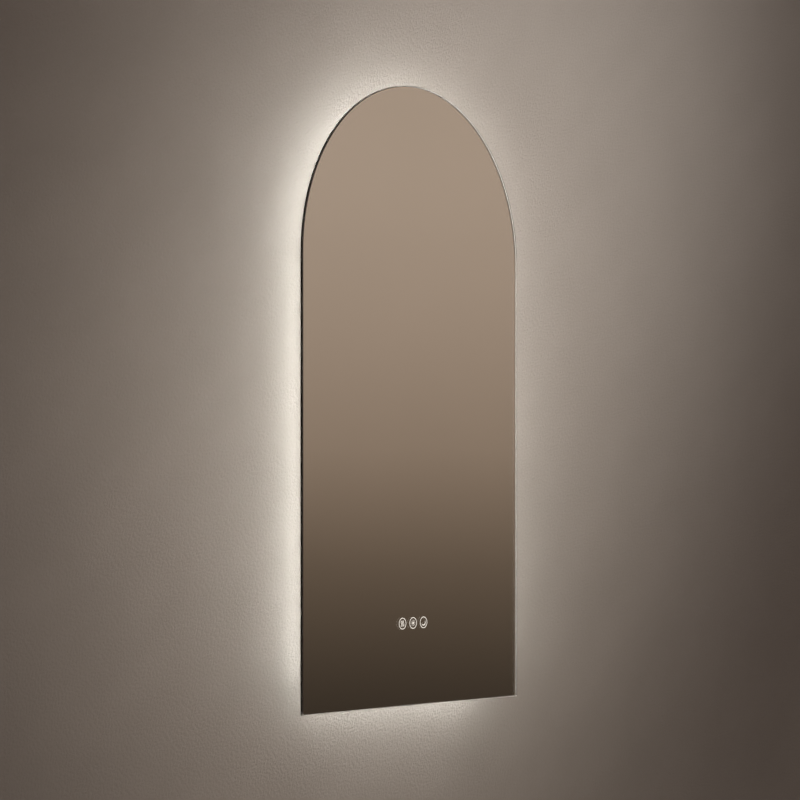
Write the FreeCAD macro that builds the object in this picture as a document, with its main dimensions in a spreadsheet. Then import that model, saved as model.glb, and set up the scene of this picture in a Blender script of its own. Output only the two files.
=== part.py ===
import FreeCAD, Part
import math
import os
import re

import Sketcher

# Back-lit arched bathroom mirror that hangs on a wall rail. Millimetres.
# +X is to the right seen from the front, +Z is up and the room lies towards -Y.
# The wall is the plane Y = 0. The origin is the middle of the rail's line of screw slots, on the wall.
# "Depth" is the distance from the wall towards the room, so depth = -Y.

SIZES = {
    # glass and what is bonded to its back
    "mirror_width": (500, "width of the glass"),
    "mirror_height": (900, "height of the glass, foot to crown"),
    "arch_centre_rise": (60, "centre of the half-round top above the rail's screw line"),
    "glass_thickness": (5, "glass"),
    "glass_arris": (0.9, "polished arris round both faces of the glass"),
    "silver_thickness": (0.1, "silver and copper layer with its paint"),
    "film_thickness": (0.2, "safety film"),
    "layer_inset": (1.2, "silver and film stop this far inside the glass edge"),
    "tape_thickness": (0.7, "bonding tape"),
    "tape_width": (14, "bonding tape"),
    # aluminium frame section
    "frame_inset": (50, "outer face of the frame inside the glass edge, at the sides and the top"),
    "foot_inset": (36, "underside of the frame above the foot of the glass"),
    "frame_depth": (26, "frame, front flange to rear flange"),
    "frame_wall": (1.5, "wall of the extruded section"),
    "front_flange": (22, "reach of the flange behind the glass"),
    "rear_flange": (22, "reach of the flange that takes the cover"),
    "channel_depth": (8.5, "depth of the outward channel for the light strip"),
    "channel_width": (12, "clear width of that channel"),
    "lip_height": (0.8, "lips at the channel's mouth"),
    "lip_length": (1.2, "lips at the channel's mouth"),
    "corner_dark": (20, "light strip stops this far from the frame's corner"),
    "lead_inset": (4, "lead of a light strip comes through the frame this far past the corner key"),
    # back cover and wall gap
    "wall_gap": (9, "wall to the back cover"),
    "cover_thickness": (1, "back cover sheet"),
    "hatch_rim": (10, "cover beside the hatch, over the ends of the terminal case"),
    "hatch_lip": (1, "cover above and below the hatch, over the terminal case's long walls"),
    "vent_length": (38, "vent slot, end to end"),
    "vent_width": (3, "vent slot"),
    "vent_pitch": (8, "vent slots"),
    "vent_count": (6, "vent slots in a row of vents"),
    "upper_vent_rise": (50, "upper row of vents above the hook"),
    "lower_vent_rise": (70, "lower row of vents above the terminal case's middle"),
    # light strip
    "strip_width": (10, "printed strip"),
    "strip_thickness": (0.3, "printed strip"),
    "chip_pitch": (16.67, "light chips along the strip"),
    "chip_length": (3.5, "light chip along the strip"),
    "chip_width": (2.8, "light chip across the strip"),
    "chip_height": (0.8, "light chip off the strip"),
    "diffuser_wall": (0.8, "inner flange of the snap-in diffuser"),
    "slip": (0.1, "clearance of parts that snap or slide together"),
    # corners
    "cap_leg": (16, "leg of the channel's corner cap"),
    "key_leg": (42, "leg of the corner key"),
    "key_thickness": (2, "corner key"),
    "key_width": (20, "corner key"),
    "key_screw_inset": (8, "outer screw of a corner key from the end of its leg"),
    "key_screw_pitch": (12, "the two screws of a corner key's leg"),
    # wall rail and hook
    "rail_length": (260, "wall rail"),
    "rail_sheet": (1.5, "sheet of the rail and the hook"),
    "rail_below": (16, "rail below its screw line"),
    "rail_step": (12, "top of the rail's fold above its screw line"),
    "rail_top": (24, "top of the rail's lip, where the hook rests"),
    "rail_reach": (4.6, "wall to the back of the rail's lip"),
    "slot_spacing": (180, "screw slots of the rail"),
    "slot_length": (16, "screw slot, end to end"),
    "slot_radius": (2.75, "half the width of a screw slot"),
    "hook_length": (230, "hook"),
    "hook_reach": (2.6, "wall to the back of the hook's lip"),
    "hook_drop": (10.5, "hook's lip below the rail's top"),
    "hook_height": (28, "hook's plate above the rail's top"),
    "bend_radius": (2, "outside of a fold"),
    "inner_bend": (0.4, "inside of a fold"),
    "member_height": (24, "cross member"),
    "member_depth": (20, "cross member"),
    "member_overlap": (14, "end lug inside the cross member"),
    "member_rise": (4, "cross member's foot above the rail's top"),
    # fasteners
    "screw_radius": (1.45, "small screws"),
    "screw_head": (2.8, "head radius of the small screws"),
    "head_height": (1.6, "head of the small screws"),
    "screw_clearance": (0.1, "hole round a screw or rivet"),
    "screw_point": (1, "screw beyond the last sheet that it holds"),
    "rivet_radius": (1.6, "hook rivets"),
    "rivet_head": (3.2, "head radius of a hook rivet"),
    "rivet_height": (1.2, "head of a hook rivet"),
    "rivet_count": (6, "hook rivets"),
    "rivet_inset": (12, "outer rivets from the hook's ends"),
    "bumper_foot": (10, "wall end radius of a bumper"),
    "bumper_base": (12, "cover end radius of a bumper"),
    "bumper_floor": (4, "rubber under the head of a bumper's screw"),
    "bumper_well": (0.6, "well round the head of a bumper's screw"),
    "bumper_screw": (8, "length of a bumper's screw"),
    "bumper_inset": (40, "bumpers inside the frame's web"),
    "bumper_rise": (46, "bumpers above the frame's foot"),
    "stud_radius": (2, "earth stud"),
    "stud_length": (11, "earth stud"),
    "stud_head": (4, "head radius of the earth stud, and of its nut over the corners"),
    "nut_height": (3.2, "nut of the earth stud"),
    "lug_radius": (4.6, "ring of the earth wire's terminal"),
    "lug_thickness": (1, "ring of the earth wire's terminal"),
    "lug_reach": (13, "earth stud to the wire end of its terminal"),
    "barrel_length": (8.8, "barrel of the earth wire's terminal"),
    "barrel_side": (3.4, "barrel of the earth wire's terminal"),
    # driver, terminal box and what enters them
    "service_wall": (1.6, "walls of the driver case and the terminal case"),
    "corner_round": (4, "corners of the cases and lids"),
    "driver_rise": (190, "driver's middle above the foot of the glass"),
    "driver_width": (150, "driver case"),
    "driver_height": (44, "driver case"),
    "driver_depth": (20, "driver case"),
    "driver_screw": (9, "length of the driver's screws"),
    "driver_screw_inset": (12, "driver's screws from its ends"),
    "boss_radius": (3.2, "screw bosses in the driver case"),
    "boss_drop": (6, "screw bosses below the driver's lid"),
    "rib_height": (2, "locating rib under the driver's lid"),
    "board_inset": (26, "driver's board from the ends of its case"),
    "board_gap": (0.5, "driver's board from the long walls of its case"),
    "board_post": (2, "posts under the driver's board, their height and their radius"),
    "post_inset": (5, "those posts from the board's ends"),
    "board_thickness": (1.6, "printed boards"),
    "strip_lead_drop": (11, "lead of the bent strip below the driver's middle"),
    "terminal_rise": (280, "terminal case's middle above the foot of the glass"),
    "terminal_width": (80, "terminal case"),
    "terminal_height": (50, "terminal case"),
    "terminal_depth": (18, "terminal case"),
    "block_pitch": (10, "ways of the terminal block"),
    "block_end": (1, "terminal block beyond its outer ways"),
    "block_height": (18, "terminal block"),
    "block_depth": (12, "terminal block"),
    "well_pitch": (9, "the two clamp wells of a way"),
    "well_side": (4.8, "clamp well"),
    "well_depth": (5, "clamp well"),
    "entry_side": (3.8, "wire entry of the terminal block"),
    "entry_depth": (6, "wire entry of the terminal block"),
    "clamp_radius": (2.2, "clamp screw"),
    "clamp_height": (2.6, "clamp screw"),
    "wire_line": (9, "wires enter the two cases this far in front of the cover"),
    "hatch_margin": (4, "terminal lid beyond the hatch"),
    "lid_screw": (8, "length of the terminal lid's screws"),
    "lid_screw_inset": (5, "terminal lid's screws from its ends"),
    "lid_thickness": (1.2, "lids"),
    "grommet_bore": (3.6, "radius of the cable hole in the grommet"),
    "grommet_neck": (6.5, "radius of the grommet in its hole"),
    "grommet_flange": (9, "radius of the grommet's flanges"),
    "grommet_lip": (2, "thickness of the grommet's flanges"),
    "grommet_shift": (16, "grommet left of the terminal lid's middle"),
    "earth_shift": (44, "earth stud right of the terminal case"),
    "earth_drop": (20, "earth stud below the terminal case's middle"),
    # touch panel and demister
    "icon_rise": (120, "touch icons above the foot of the glass"),
    "icon_pitch": (24.5, "touch icons"),
    "well_radius": (10.5, "light well behind an icon"),
    "touch_width": (84, "touch housing"),
    "touch_height": (30, "touch housing"),
    "touch_depth": (7, "touch housing"),
    "touch_round": (3, "corners of the touch housing and its board"),
    "ring_wall": (0.9, "touch ring in its well, with its clearance"),
    "light_shift": (4, "the two lights of an icon, each way from its middle"),
    "plug_width": (14, "connector of the touch board"),
    "plug_height": (8, "connector of the touch board"),
    "plug_depth": (6, "connector of the touch board"),
    "plug_inset": (6, "connector's middle from the top of the touch board"),
    "pad_width": (260, "demister pad"),
    "pad_height": (340, "demister pad"),
    "pad_rise": (270, "demister pad above the foot of the glass"),
    "pad_thickness": (0.35, "demister pad"),
    "pad_round": (8, "corners of the demister pad"),
    "joint_width": (16, "moulded wire joint on the demister pad"),
    "joint_height": (14, "moulded wire joint on the demister pad"),
    "joint_depth": (3, "moulded wire joint on the demister pad"),
    "joint_round": (2, "corners of the wire joint"),
    "joint_inset": (36, "wire joint's middle from the pad's side and foot"),
    "trace_rows": (13, "rows of the heating trace"),
    "trace_margin": (14, "pad round the heating trace"),
    "trace_width": (4, "heating trace"),
    "trace_thickness": (0.15, "heating trace"),
    # wires
    "wire_radius": (1.2, "internal wires"),
    "wire_slip": (0.3, "hole round a wire"),
    "clip_wall": (1.2, "wire clips, over and under the wire"),
    "clip_length": (12, "wire clips along the wire"),
    "clip_width": (6, "wire clips"),
}

doc = FreeCAD.newDocument("lighted_mirror")
sheet = doc.addObject("Spreadsheet::Sheet", "Size")
for row, (alias, (value, note)) in enumerate(SIZES.items(), start=1):
    sheet.set(f"A{row}", alias)
    sheet.set(f"B{row}", str(value))
    sheet.setAlias(f"B{row}", alias)
    sheet.set(f"C{row}", note)
doc.recompute()

Vector = FreeCAD.Vector
pieces = []


# ---------------------------------------------------------------- expressions

def bound(text):
    """The expression with every size's name pointed at the sheet."""
    names = sorted(SIZES, key=len, reverse=True)
    return re.sub(r"\b(" + "|".join(names) + r")\b", r"Size.\1", str(text))


def number(text):
    """The value of an expression of sizes."""
    return float(sheet.evalExpression(str(text)))


# Depths from the wall
COVER_FRONT = "(wall_gap + cover_thickness)"
FRAME_FRONT = f"({COVER_FRONT} + frame_depth)"
FILM_BACK = f"({FRAME_FRONT} + tape_thickness)"
SILVER_BACK = f"({FILM_BACK} + film_thickness)"
GLASS_BACK = f"({SILVER_BACK} + silver_thickness)"
CHANNEL_FRONT = f"({FRAME_FRONT} - frame_wall)"
CHANNEL_REAR = f"({CHANNEL_FRONT} - channel_width)"
CHANNEL_MIDDLE = f"({CHANNEL_FRONT} - channel_width / 2)"
# Heights from the rail's screw line
FOOT = "(arch_centre_rise + mirror_width / 2 - mirror_height)"
FRAME_FOOT = f"({FOOT} + foot_inset)"
MEMBER_LOW = "(rail_top + member_rise)"
MEMBER_MIDDLE = f"({MEMBER_LOW} + member_height / 2)"
DRIVER_MIDDLE = f"({FOOT} + driver_rise)"
TERMINAL_MIDDLE = f"({FOOT} + terminal_rise)"
ICON_HEIGHT = f"({FOOT} + icon_rise)"
# Half widths
FRAME_HALF = "(mirror_width / 2 - frame_inset)"
WEB_OUTER = f"({FRAME_HALF} - channel_depth)"
WEB_INNER = f"({WEB_OUTER} - frame_wall)"
COVER_INSET = "(frame_inset + channel_depth)"
FOOT_SHIFT = "(foot_inset - frame_inset)"
SCREW_LINE = f"({FRAME_HALF} - (channel_depth + frame_wall + rear_flange) / 2)"
HOLE = "(screw_radius + screw_clearance)"
RIVET_HOLE = "(rivet_radius + screw_clearance)"
WIRE_HOLE = "(wire_radius + wire_slip)"
KEY_SCREWS = ["(key_leg - key_screw_inset - key_screw_pitch)", "(key_leg - key_screw_inset)"]
LEAD_IN = "(key_leg + lead_inset)"
TOWARDS_ROOM = Vector(0, -1, 0)


# ---------------------------------------------------------------- sketching

def new_body(label):
    body = doc.addObject("PartDesign::Body", label)
    body.Label = label
    pieces.append(body)
    return body


def origin_plane(body, role):
    return next(item for item in body.Origin.OriginFeatures if item.Role == role)


def sketch_on(body, role, name, lift="0"):
    """An empty sketch on one of the body's own planes, moved along the plane's normal.

    On XZ_Plane the sketch's x and y are X and Z, and lift is a depth. On YZ_Plane they are Y and Z.
    On XY_Plane they are X and Y, and lift is a height.
    """
    sketch = body.newObject("Sketcher::SketchObject", name)
    sketch.AttachmentSupport = (origin_plane(body, role), [""])
    sketch.MapMode = "FlatFace"
    sketch.setExpression(".AttachmentOffset.Base.z", bound(lift))
    return sketch


def hold(sketch, geometry, point, x=None, y=None):
    """Holds a point of the sketch at bound distances from the sketch's origin."""
    for kind, text in (("DistanceX", x), ("DistanceY", y)):
        if text is not None:
            index = sketch.addConstraint(Sketcher.Constraint(kind, -1, 1, geometry, point, number(text)))
            sketch.setExpression(f"Constraints[{index}]", bound(text))


def spot(x, y):
    return Vector(number(x), number(y), 0)


def polygon(sketch, points):
    """A closed outline of straight lines through points given as pairs of expressions."""
    first = sketch.GeometryCount
    spots = [spot(x, y) for x, y in points]
    for here, there in zip(spots, spots[1:] + spots[:1]):
        sketch.addGeometry(Part.LineSegment(here, there))
    for step, (x, y) in enumerate(points):
        before = first + (step - 1) % len(points)
        sketch.addConstraint(Sketcher.Constraint("Coincident", before, 2, first + step, 1))
        hold(sketch, first + step, 1, x, y)


def rectangle(sketch, x, y, width, height):
    """A rectangle centred at (x, y)."""
    left, right = f"({x}) - ({width}) / 2", f"({x}) + ({width}) / 2"
    low, high = f"({y}) - ({height}) / 2", f"({y}) + ({height}) / 2"
    polygon(sketch, [(left, low), (right, low), (right, high), (left, high)])


def circle(sketch, x, y, radius):
    ring = Part.Circle(spot(x, y), Vector(0, 0, 1), number(radius))
    index = sketch.addGeometry(ring)
    hold(sketch, index, 3, x, y)
    size = sketch.addConstraint(Sketcher.Constraint("Radius", index, number(radius)))
    sketch.setExpression(f"Constraints[{size}]", bound(radius))


def small_round(sketch, x, y, radius):
    """A small hole or post drawn with eight sides, the flats at radius, so that many of them stay light."""
    corner = f"({radius}) / cos(22.5 * 1 deg)"
    turns = [22.5 + 45 * step for step in range(8)]
    polygon(sketch, [
        (f"{x} + {corner} * cos({turn} * 1 deg)", f"{y} + {corner} * sin({turn} * 1 deg)") for turn in turns
    ])


def half_round(sketch, x, y, radius, start, before, after, along):
    """A half circle that joins the end of line before to the start of line after."""
    base = Part.Circle(spot(x, y), Vector(0, 0, 1), number(radius))
    index = sketch.addGeometry(Part.ArcOfCircle(base, start, start + math.pi))
    sketch.addConstraint(Sketcher.Constraint("Coincident", index, 1, before, 2))
    sketch.addConstraint(Sketcher.Constraint("Coincident", index, 2, after, 1))
    if along == "x":
        hold(sketch, index, 3, x=x)
    else:
        hold(sketch, index, 3, y=y)


def arch(sketch, inset, shift="0"):
    """The mirror's outline moved inwards, with its flat foot moved up by shift as well."""
    half = f"(mirror_width / 2 - {inset})"
    low = f"({FOOT} + {inset} + {shift})"
    rise = "arch_centre_rise"
    lines = [("-" + half, rise, "-" + half, low), ("-" + half, low, half, low), (half, low, half, rise)]
    first = sketch.GeometryCount
    for x_from, y_from, x_to, y_to in lines:
        sketch.addGeometry(Part.LineSegment(spot(x_from, y_from), spot(x_to, y_to)))
    for step, (x_from, y_from, x_to, y_to) in enumerate(lines):
        hold(sketch, first + step, 1, x_from, y_from)
        if step:
            sketch.addConstraint(Sketcher.Constraint("Coincident", first + step - 1, 2, first + step, 1))
    hold(sketch, first + 2, 2, half, rise)
    half_round(sketch, "0", rise, half, 0, first + 2, first, "y")


def slot(sketch, x, y, length, radius):
    """A horizontal slot with round ends, centred at (x, y)."""
    reach = f"({length} / 2 - {radius})"
    left, right = f"({x} - {reach})", f"({x} + {reach})"
    low, high = f"({y} - {radius})", f"({y} + {radius})"
    first = sketch.GeometryCount
    sketch.addGeometry(Part.LineSegment(spot(left, low), spot(right, low)))
    sketch.addGeometry(Part.LineSegment(spot(right, high), spot(left, high)))
    hold(sketch, first, 1, left, low)
    hold(sketch, first, 2, right, low)
    hold(sketch, first + 1, 1, right, high)
    hold(sketch, first + 1, 2, left, high)
    half_round(sketch, right, y, radius, -math.pi / 2, first, first + 1, "x")
    half_round(sketch, left, y, radius, math.pi / 2, first + 1, first, "x")


# ---------------------------------------------------------------- features

def pad(body, sketch, name, length, both_ways=False, backwards=False):
    feature = body.newObject("PartDesign::Pad", name)
    feature.Profile = sketch
    if both_ways:
        feature.SideType = "Symmetric"
    feature.Reversed = backwards
    feature.setExpression("Length", bound(length))
    return feature


def cut_through(body, sketch, name):
    """A pocket through everything, both ways from its sketch."""
    before = volume(body)
    feature = body.newObject("PartDesign::Pocket", name)
    feature.Profile = sketch
    feature.Type = "ThroughAll"
    feature.SideType = "Symmetric"
    check_cut(body, name, before)
    return feature


def cut_between(body, draw, name, low, high, role="XZ_Plane"):
    """A pocket from one distance to another along the plane's normal."""
    before = volume(body)
    profile = sketch_on(body, role, name + "_outline", low)
    draw(profile)
    feature = body.newObject("PartDesign::Pocket", name)
    feature.Profile = profile
    feature.Reversed = True
    feature.setExpression("Length", bound(f"({high}) - ({low})"))
    check_cut(body, name, before)
    return feature


def volume(body):
    doc.recompute()
    return body.Shape.Volume


def check_cut(body, name, before):
    if volume(body) > before - 1e-6:
        raise RuntimeError(f"{body.Label}: {name} cuts nothing")


def mirror_left(body, feature, name):
    """Repeats a feature on the other side of the middle."""
    twin = body.newObject("PartDesign::Mirrored", name)
    twin.Originals = [feature]
    twin.MirrorPlane = (origin_plane(body, "YZ_Plane"), [""])
    body.Tip = twin
    return twin


def small_holes(body, name, places, radius):
    """Holes through everything along the depth, at (x, z) places."""
    profile = sketch_on(body, "XZ_Plane", name + "_outline")
    for x, z in places:
        small_round(profile, x, z, radius)
    cut_through(body, profile, name)


def blind_holes(body, name, places, radius, low, high, role="XZ_Plane"):
    """Holes from one distance to another along the plane's normal."""
    def draw(profile):
        for x, y in places:
            small_round(profile, x, y, radius)

    cut_between(body, draw, name, low, high, role)


def edges_where(feature, test):
    """The names of the feature's edges for which test(edge) is true."""
    doc.recompute()
    return [f"Edge{n}" for n, edge in enumerate(feature.Shape.Edges, start=1) if test(edge)]


def soften(body, feature, name, edges, kind, size):
    """A fillet or a chamfer on named edges or faces of the body's last feature."""
    finish = body.newObject("PartDesign::" + kind, name)
    finish.Base = (feature, edges)
    finish.setExpression("Radius" if kind == "Fillet" else "Size", bound(size))
    return finish


def runs_along(edge, direction):
    ends = edge.Vertexes
    if len(ends) != 2 or edge.Curve.TypeId != "Part::GeomLine":
        return False
    return abs((ends[1].Point - ends[0].Point).normalize().dot(direction)) > 0.999


def fold_edges(feature, spots):
    """Edges along X that pass through the given (depth, height) pairs."""
    wanted = [Vector(0, -number(depth), number(height)) for depth, height in spots]

    def is_fold(edge):
        if not runs_along(edge, Vector(1, 0, 0)):
            return False
        point = edge.Vertexes[0].Point
        return any(math.hypot(point.y - mark.y, point.z - mark.z) < 0.01 for mark in wanted)

    return edges_where(feature, is_fold)


def upright_edges(feature):
    """Edges along the depth, such as the corners of a case seen from the front."""
    return edges_where(feature, lambda edge: runs_along(edge, Vector(0, 1, 0)))


def block(label, x, z, width, height, low, high, corner=None):
    """A plain plate or block in its own body, between two depths, with rounded corners if asked."""
    body = new_body(label)
    outline = sketch_on(body, "XZ_Plane", label + "_outline", low)
    rectangle(outline, x, z, width, height)
    feature = pad(body, outline, label + "_pad", f"({high}) - ({low})")
    if corner:
        soften(body, feature, label + "_corners", upright_edges(feature), "Fillet", corner)
    return body


def group(label, solids):
    """A node of loose solids, made with the geometry kernel from the sheet's sizes."""
    feature = doc.addObject("Part::Feature", label)
    feature.Label = label
    feature.Shape = Part.makeCompound(solids)
    feature.Placement = FreeCAD.Placement()
    pieces.append(feature)
    return feature


# ---------------------------------------------------------------- glass and its layers

def make_glass():
    body = new_body("mirror_glass")
    outline = sketch_on(body, "XZ_Plane", "glass_outline", GLASS_BACK)
    arch(outline, "0")
    sheet_glass = pad(body, outline, "glass_sheet", "glass_thickness")
    doc.recompute()
    faces = sheet_glass.Shape.Faces
    broad = [f"Face{n}" for n, face in enumerate(faces, start=1) if abs(face.normalAt(0, 0).y) > 0.9]
    soften(body, sheet_glass, "polished_arris", broad, "Chamfer", "glass_arris")


def make_layers():
    silver = new_body("silver_layer")
    outline = sketch_on(silver, "XZ_Plane", "silver_outline", SILVER_BACK)
    arch(outline, "layer_inset")
    pad(silver, outline, "silver_coat", "silver_thickness")

    film = new_body("safety_film")
    outline = sketch_on(film, "XZ_Plane", "film_outline", FILM_BACK)
    arch(outline, "layer_inset")
    rectangle(outline, "0", ICON_HEIGHT, "(touch_width + 2 * slip)", "(touch_height + 2 * slip)")
    pad(film, outline, "film_sheet", "film_thickness")

    tape = new_body("bonding_tape")
    outline = sketch_on(tape, "XZ_Plane", "tape_outline", FRAME_FRONT)
    arch(outline, "(frame_inset + (front_flange - tape_width) / 2)", FOOT_SHIFT)
    arch(outline, "(frame_inset + (front_flange + tape_width) / 2)", FOOT_SHIFT)
    pad(tape, outline, "tape_strip", "tape_thickness")


# ---------------------------------------------------------------- frame, strips and diffusers
# A section is a list of (n, depth) pairs. n is measured outwards from the frame's outer face.

FRAME_SECTION = [
    ("0", FRAME_FRONT),
    ("0", f"{CHANNEL_FRONT} - lip_height"),
    ("-lip_length", f"{CHANNEL_FRONT} - lip_height"),
    ("-lip_length", CHANNEL_FRONT),
    ("-channel_depth", CHANNEL_FRONT),
    ("-channel_depth", CHANNEL_REAR),
    ("-lip_length", CHANNEL_REAR),
    ("-lip_length", f"{CHANNEL_REAR} + lip_height"),
    ("0", f"{CHANNEL_REAR} + lip_height"),
    ("0", f"{CHANNEL_REAR} - frame_wall"),
    ("-channel_depth", f"{CHANNEL_REAR} - frame_wall"),
    ("-channel_depth", COVER_FRONT),
    ("-rear_flange", COVER_FRONT),
    ("-rear_flange", f"{COVER_FRONT} + frame_wall"),
    ("-channel_depth - frame_wall", f"{COVER_FRONT} + frame_wall"),
    ("-channel_depth - frame_wall", CHANNEL_FRONT),
    ("-front_flange", CHANNEL_FRONT),
    ("-front_flange", FRAME_FRONT),
]
STRIP_SECTION = [
    ("-channel_depth", f"{CHANNEL_MIDDLE} - strip_width / 2"),
    ("-channel_depth + strip_thickness", f"{CHANNEL_MIDDLE} - strip_width / 2"),
    ("-channel_depth + strip_thickness", f"{CHANNEL_MIDDLE} + strip_width / 2"),
    ("-channel_depth", f"{CHANNEL_MIDDLE} + strip_width / 2"),
]
SNAP = "(-lip_length - slip)"
DIFFUSER_SECTION = [
    (f"{SNAP} - diffuser_wall", f"{CHANNEL_REAR} + slip"),
    (SNAP, f"{CHANNEL_REAR} + slip"),
    (SNAP, f"{CHANNEL_REAR} + lip_height + slip"),
    ("0", f"{CHANNEL_REAR} + lip_height + slip"),
    ("0", f"{CHANNEL_FRONT} - lip_height - slip"),
    (SNAP, f"{CHANNEL_FRONT} - lip_height - slip"),
    (SNAP, f"{CHANNEL_FRONT} - slip"),
    (f"{SNAP} - diffuser_wall", f"{CHANNEL_FRONT} - slip"),
]


def bent_section(label, section, foot):
    """A section bent round the half-round top, with a straight leg down each side to foot."""
    body = new_body(label)
    profile = sketch_on(body, "XY_Plane", label + "_section", "arch_centre_rise")
    polygon(profile, [(f"{FRAME_HALF} + ({n})", f"-({depth})") for n, depth in section])
    bend = body.newObject("PartDesign::Revolution", label + "_bend")
    bend.Profile = profile
    bend.ReferenceAxis = (profile, ["V_Axis"])
    bend.Angle = 180
    bend.Reversed = True
    leg = pad(body, profile, label + "_leg", f"arch_centre_rise - ({foot})", backwards=True)
    mirror_left(body, leg, label + "_legs")
    return body


def straight_section(label, section, half_length):
    """The same section along the foot, facing down."""
    body = new_body(label)
    profile = sketch_on(body, "YZ_Plane", label + "_section")
    polygon(profile, [(f"-({depth})", f"{FRAME_FOOT} - ({n})") for n, depth in section])
    pad(body, profile, label + "_run", f"2 * ({half_length})", both_ways=True)
    return body


def mitre(body, name, inside):
    """Cuts both foot corners of the frame at 45 degrees. inside is true for the upright pieces."""
    cut = "(rear_flange + front_flange)"
    outer = [(f"{FRAME_HALF} + 1", f"{FRAME_FOOT} - 1"), (f"{FRAME_HALF} - {cut}", f"{FRAME_FOOT} + {cut}")]
    if inside:
        third = (f"{FRAME_HALF} - {cut}", f"{FRAME_FOOT} - 1")
    else:
        third = (f"{FRAME_HALF} + 1", f"{FRAME_FOOT} + {cut}")
    profile = sketch_on(body, "XZ_Plane", name + "_outline")
    polygon(profile, [*outer, third])
    mirror_left(body, cut_through(body, profile, name), name + "_pair")


def web_holes(body, name, spots, radius):
    """Round holes through the upright webs, at heights on the channel's middle line, both sides."""
    profile = sketch_on(body, "YZ_Plane", name + "_outline")
    for height in spots:
        small_round(profile, f"-{CHANNEL_MIDDLE}", height, radius)
    cut_through(body, profile, name)


def foot_holes(body, name, spots, radius):
    """Round holes through the foot piece's web, at distances from the middle."""
    profile = sketch_on(body, "XY_Plane", name + "_outline", FRAME_FOOT)
    for x in spots:
        small_round(profile, x, f"-{CHANNEL_MIDDLE}", radius)
    cut_through(body, profile, name)


def side_screws():
    """Heights of the cover screws on the straight sides, the topmost one on the cross member."""
    gap = f"({MEMBER_MIDDLE} - {FRAME_FOOT})"
    return [f"({FRAME_FOOT} + {share} * {gap})" for share in ("1 / 3", "2 / 3", "1")]


def cover_screws_on_frame():
    """The screw places that fall on the bent piece, as (x, z)."""
    places = [(f"{sign}{SCREW_LINE}", height) for height in side_screws() for sign in ("-", "")]
    for degrees in ("30", "90", "150"):
        reach_x = f"{SCREW_LINE} * cos({degrees} * 1 deg)"
        reach_z = f"arch_centre_rise + {SCREW_LINE} * sin({degrees} * 1 deg)"
        places.append((reach_x, reach_z))
    return places


def cover_screws_on_foot():
    height = f"({FRAME_FOOT} + {FRAME_HALF} - {SCREW_LINE})"
    return [(f"{sign}{FRAME_HALF} / 2", height) for sign in ("-", "")]


def key_screws_on_upright():
    return [f"{FRAME_FOOT} + {leg}" for leg in KEY_SCREWS]


def key_screws_on_foot():
    return [f"{sign}({FRAME_HALF} - {leg})" for leg in KEY_SCREWS for sign in ("-", "")]


def make_frame():
    rear_rim = ("0", f"{COVER_FRONT} + 2 * frame_wall")
    frame = bent_section("frame_arch", FRAME_SECTION, FRAME_FOOT)
    mitre(frame, "foot_mitre", True)
    web_holes(frame, "key_holes", key_screws_on_upright(), HOLE)
    web_holes(frame, "lead_hole", [f"{FRAME_FOOT} + {LEAD_IN}"], WIRE_HOLE)
    blind_holes(frame, "cover_holes", cover_screws_on_frame(), HOLE, *rear_rim)

    foot = straight_section("frame_bottom", FRAME_SECTION, FRAME_HALF)
    mitre(foot, "end_mitre", False)
    foot_holes(foot, "key_holes_foot", key_screws_on_foot(), HOLE)
    foot_holes(foot, "lead_hole_foot", [f"{FRAME_HALF} - {LEAD_IN}"], WIRE_HOLE)
    blind_holes(foot, "cover_holes_foot", cover_screws_on_foot(), HOLE, *rear_rim)


def make_lighting():
    bent_section("led_strip_arch", STRIP_SECTION, f"{FRAME_FOOT} + corner_dark")
    straight_section("led_strip_bottom", STRIP_SECTION, f"{FRAME_HALF} - corner_dark")
    bent_section("diffuser_arch", DIFFUSER_SECTION, f"{FRAME_FOOT} + cap_leg + slip")
    straight_section("diffuser_bottom", DIFFUSER_SECTION, f"{FRAME_HALF} - cap_leg - slip")
    group("led_chips_arch", [chip(place) for place in arch_chip_places()])
    group("led_chips_bottom", [chip(place) for place in foot_chip_places()])


def chip(place):
    """One light chip: a box whose foot stands on the strip and whose height points outwards."""
    length, width, height = number("chip_length"), number("chip_width"), number("chip_height")
    solid = Part.makeBox(height, width, length, Vector(0, -width / 2, -length / 2))
    solid.Placement = place
    return solid


def chip_steps(run):
    """Distances of the chips along a run, centred on it."""
    pitch = number("chip_pitch")
    count = int((run - number("chip_length")) / pitch) + 1
    first = (run - (count - 1) * pitch) / 2
    return [first + step * pitch for step in range(count)]


def turned(point, degrees):
    """A place at point, with local +X turned to the given angle above +X in the XZ plane."""
    return FreeCAD.Placement(point, FreeCAD.Rotation(Vector(0, -1, 0), degrees))


def arch_chip_places():
    """Up the right leg, round the top and down the left leg."""
    radius = number(f"{WEB_OUTER} + strip_thickness")
    rise, depth = number("arch_centre_rise"), number(CHANNEL_MIDDLE)
    leg = rise - number(f"{FRAME_FOOT} + corner_dark")
    bend = math.pi * radius
    for distance in chip_steps(2 * leg + bend):
        if distance < leg:
            yield turned(Vector(radius, -depth, rise - leg + distance), 0)
        elif distance > leg + bend:
            yield turned(Vector(-radius, -depth, rise - (distance - leg - bend)), 180)
        else:
            angle = (distance - leg) / radius
            point = Vector(radius * math.cos(angle), -depth, rise + radius * math.sin(angle))
            yield turned(point, math.degrees(angle))


def foot_chip_places():
    half = number(f"{FRAME_HALF} - corner_dark")
    height = number(f"{FRAME_FOOT} + channel_depth - strip_thickness")
    for distance in chip_steps(2 * half):
        yield turned(Vector(distance - half, -number(CHANNEL_MIDDLE), height), -90)


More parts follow.
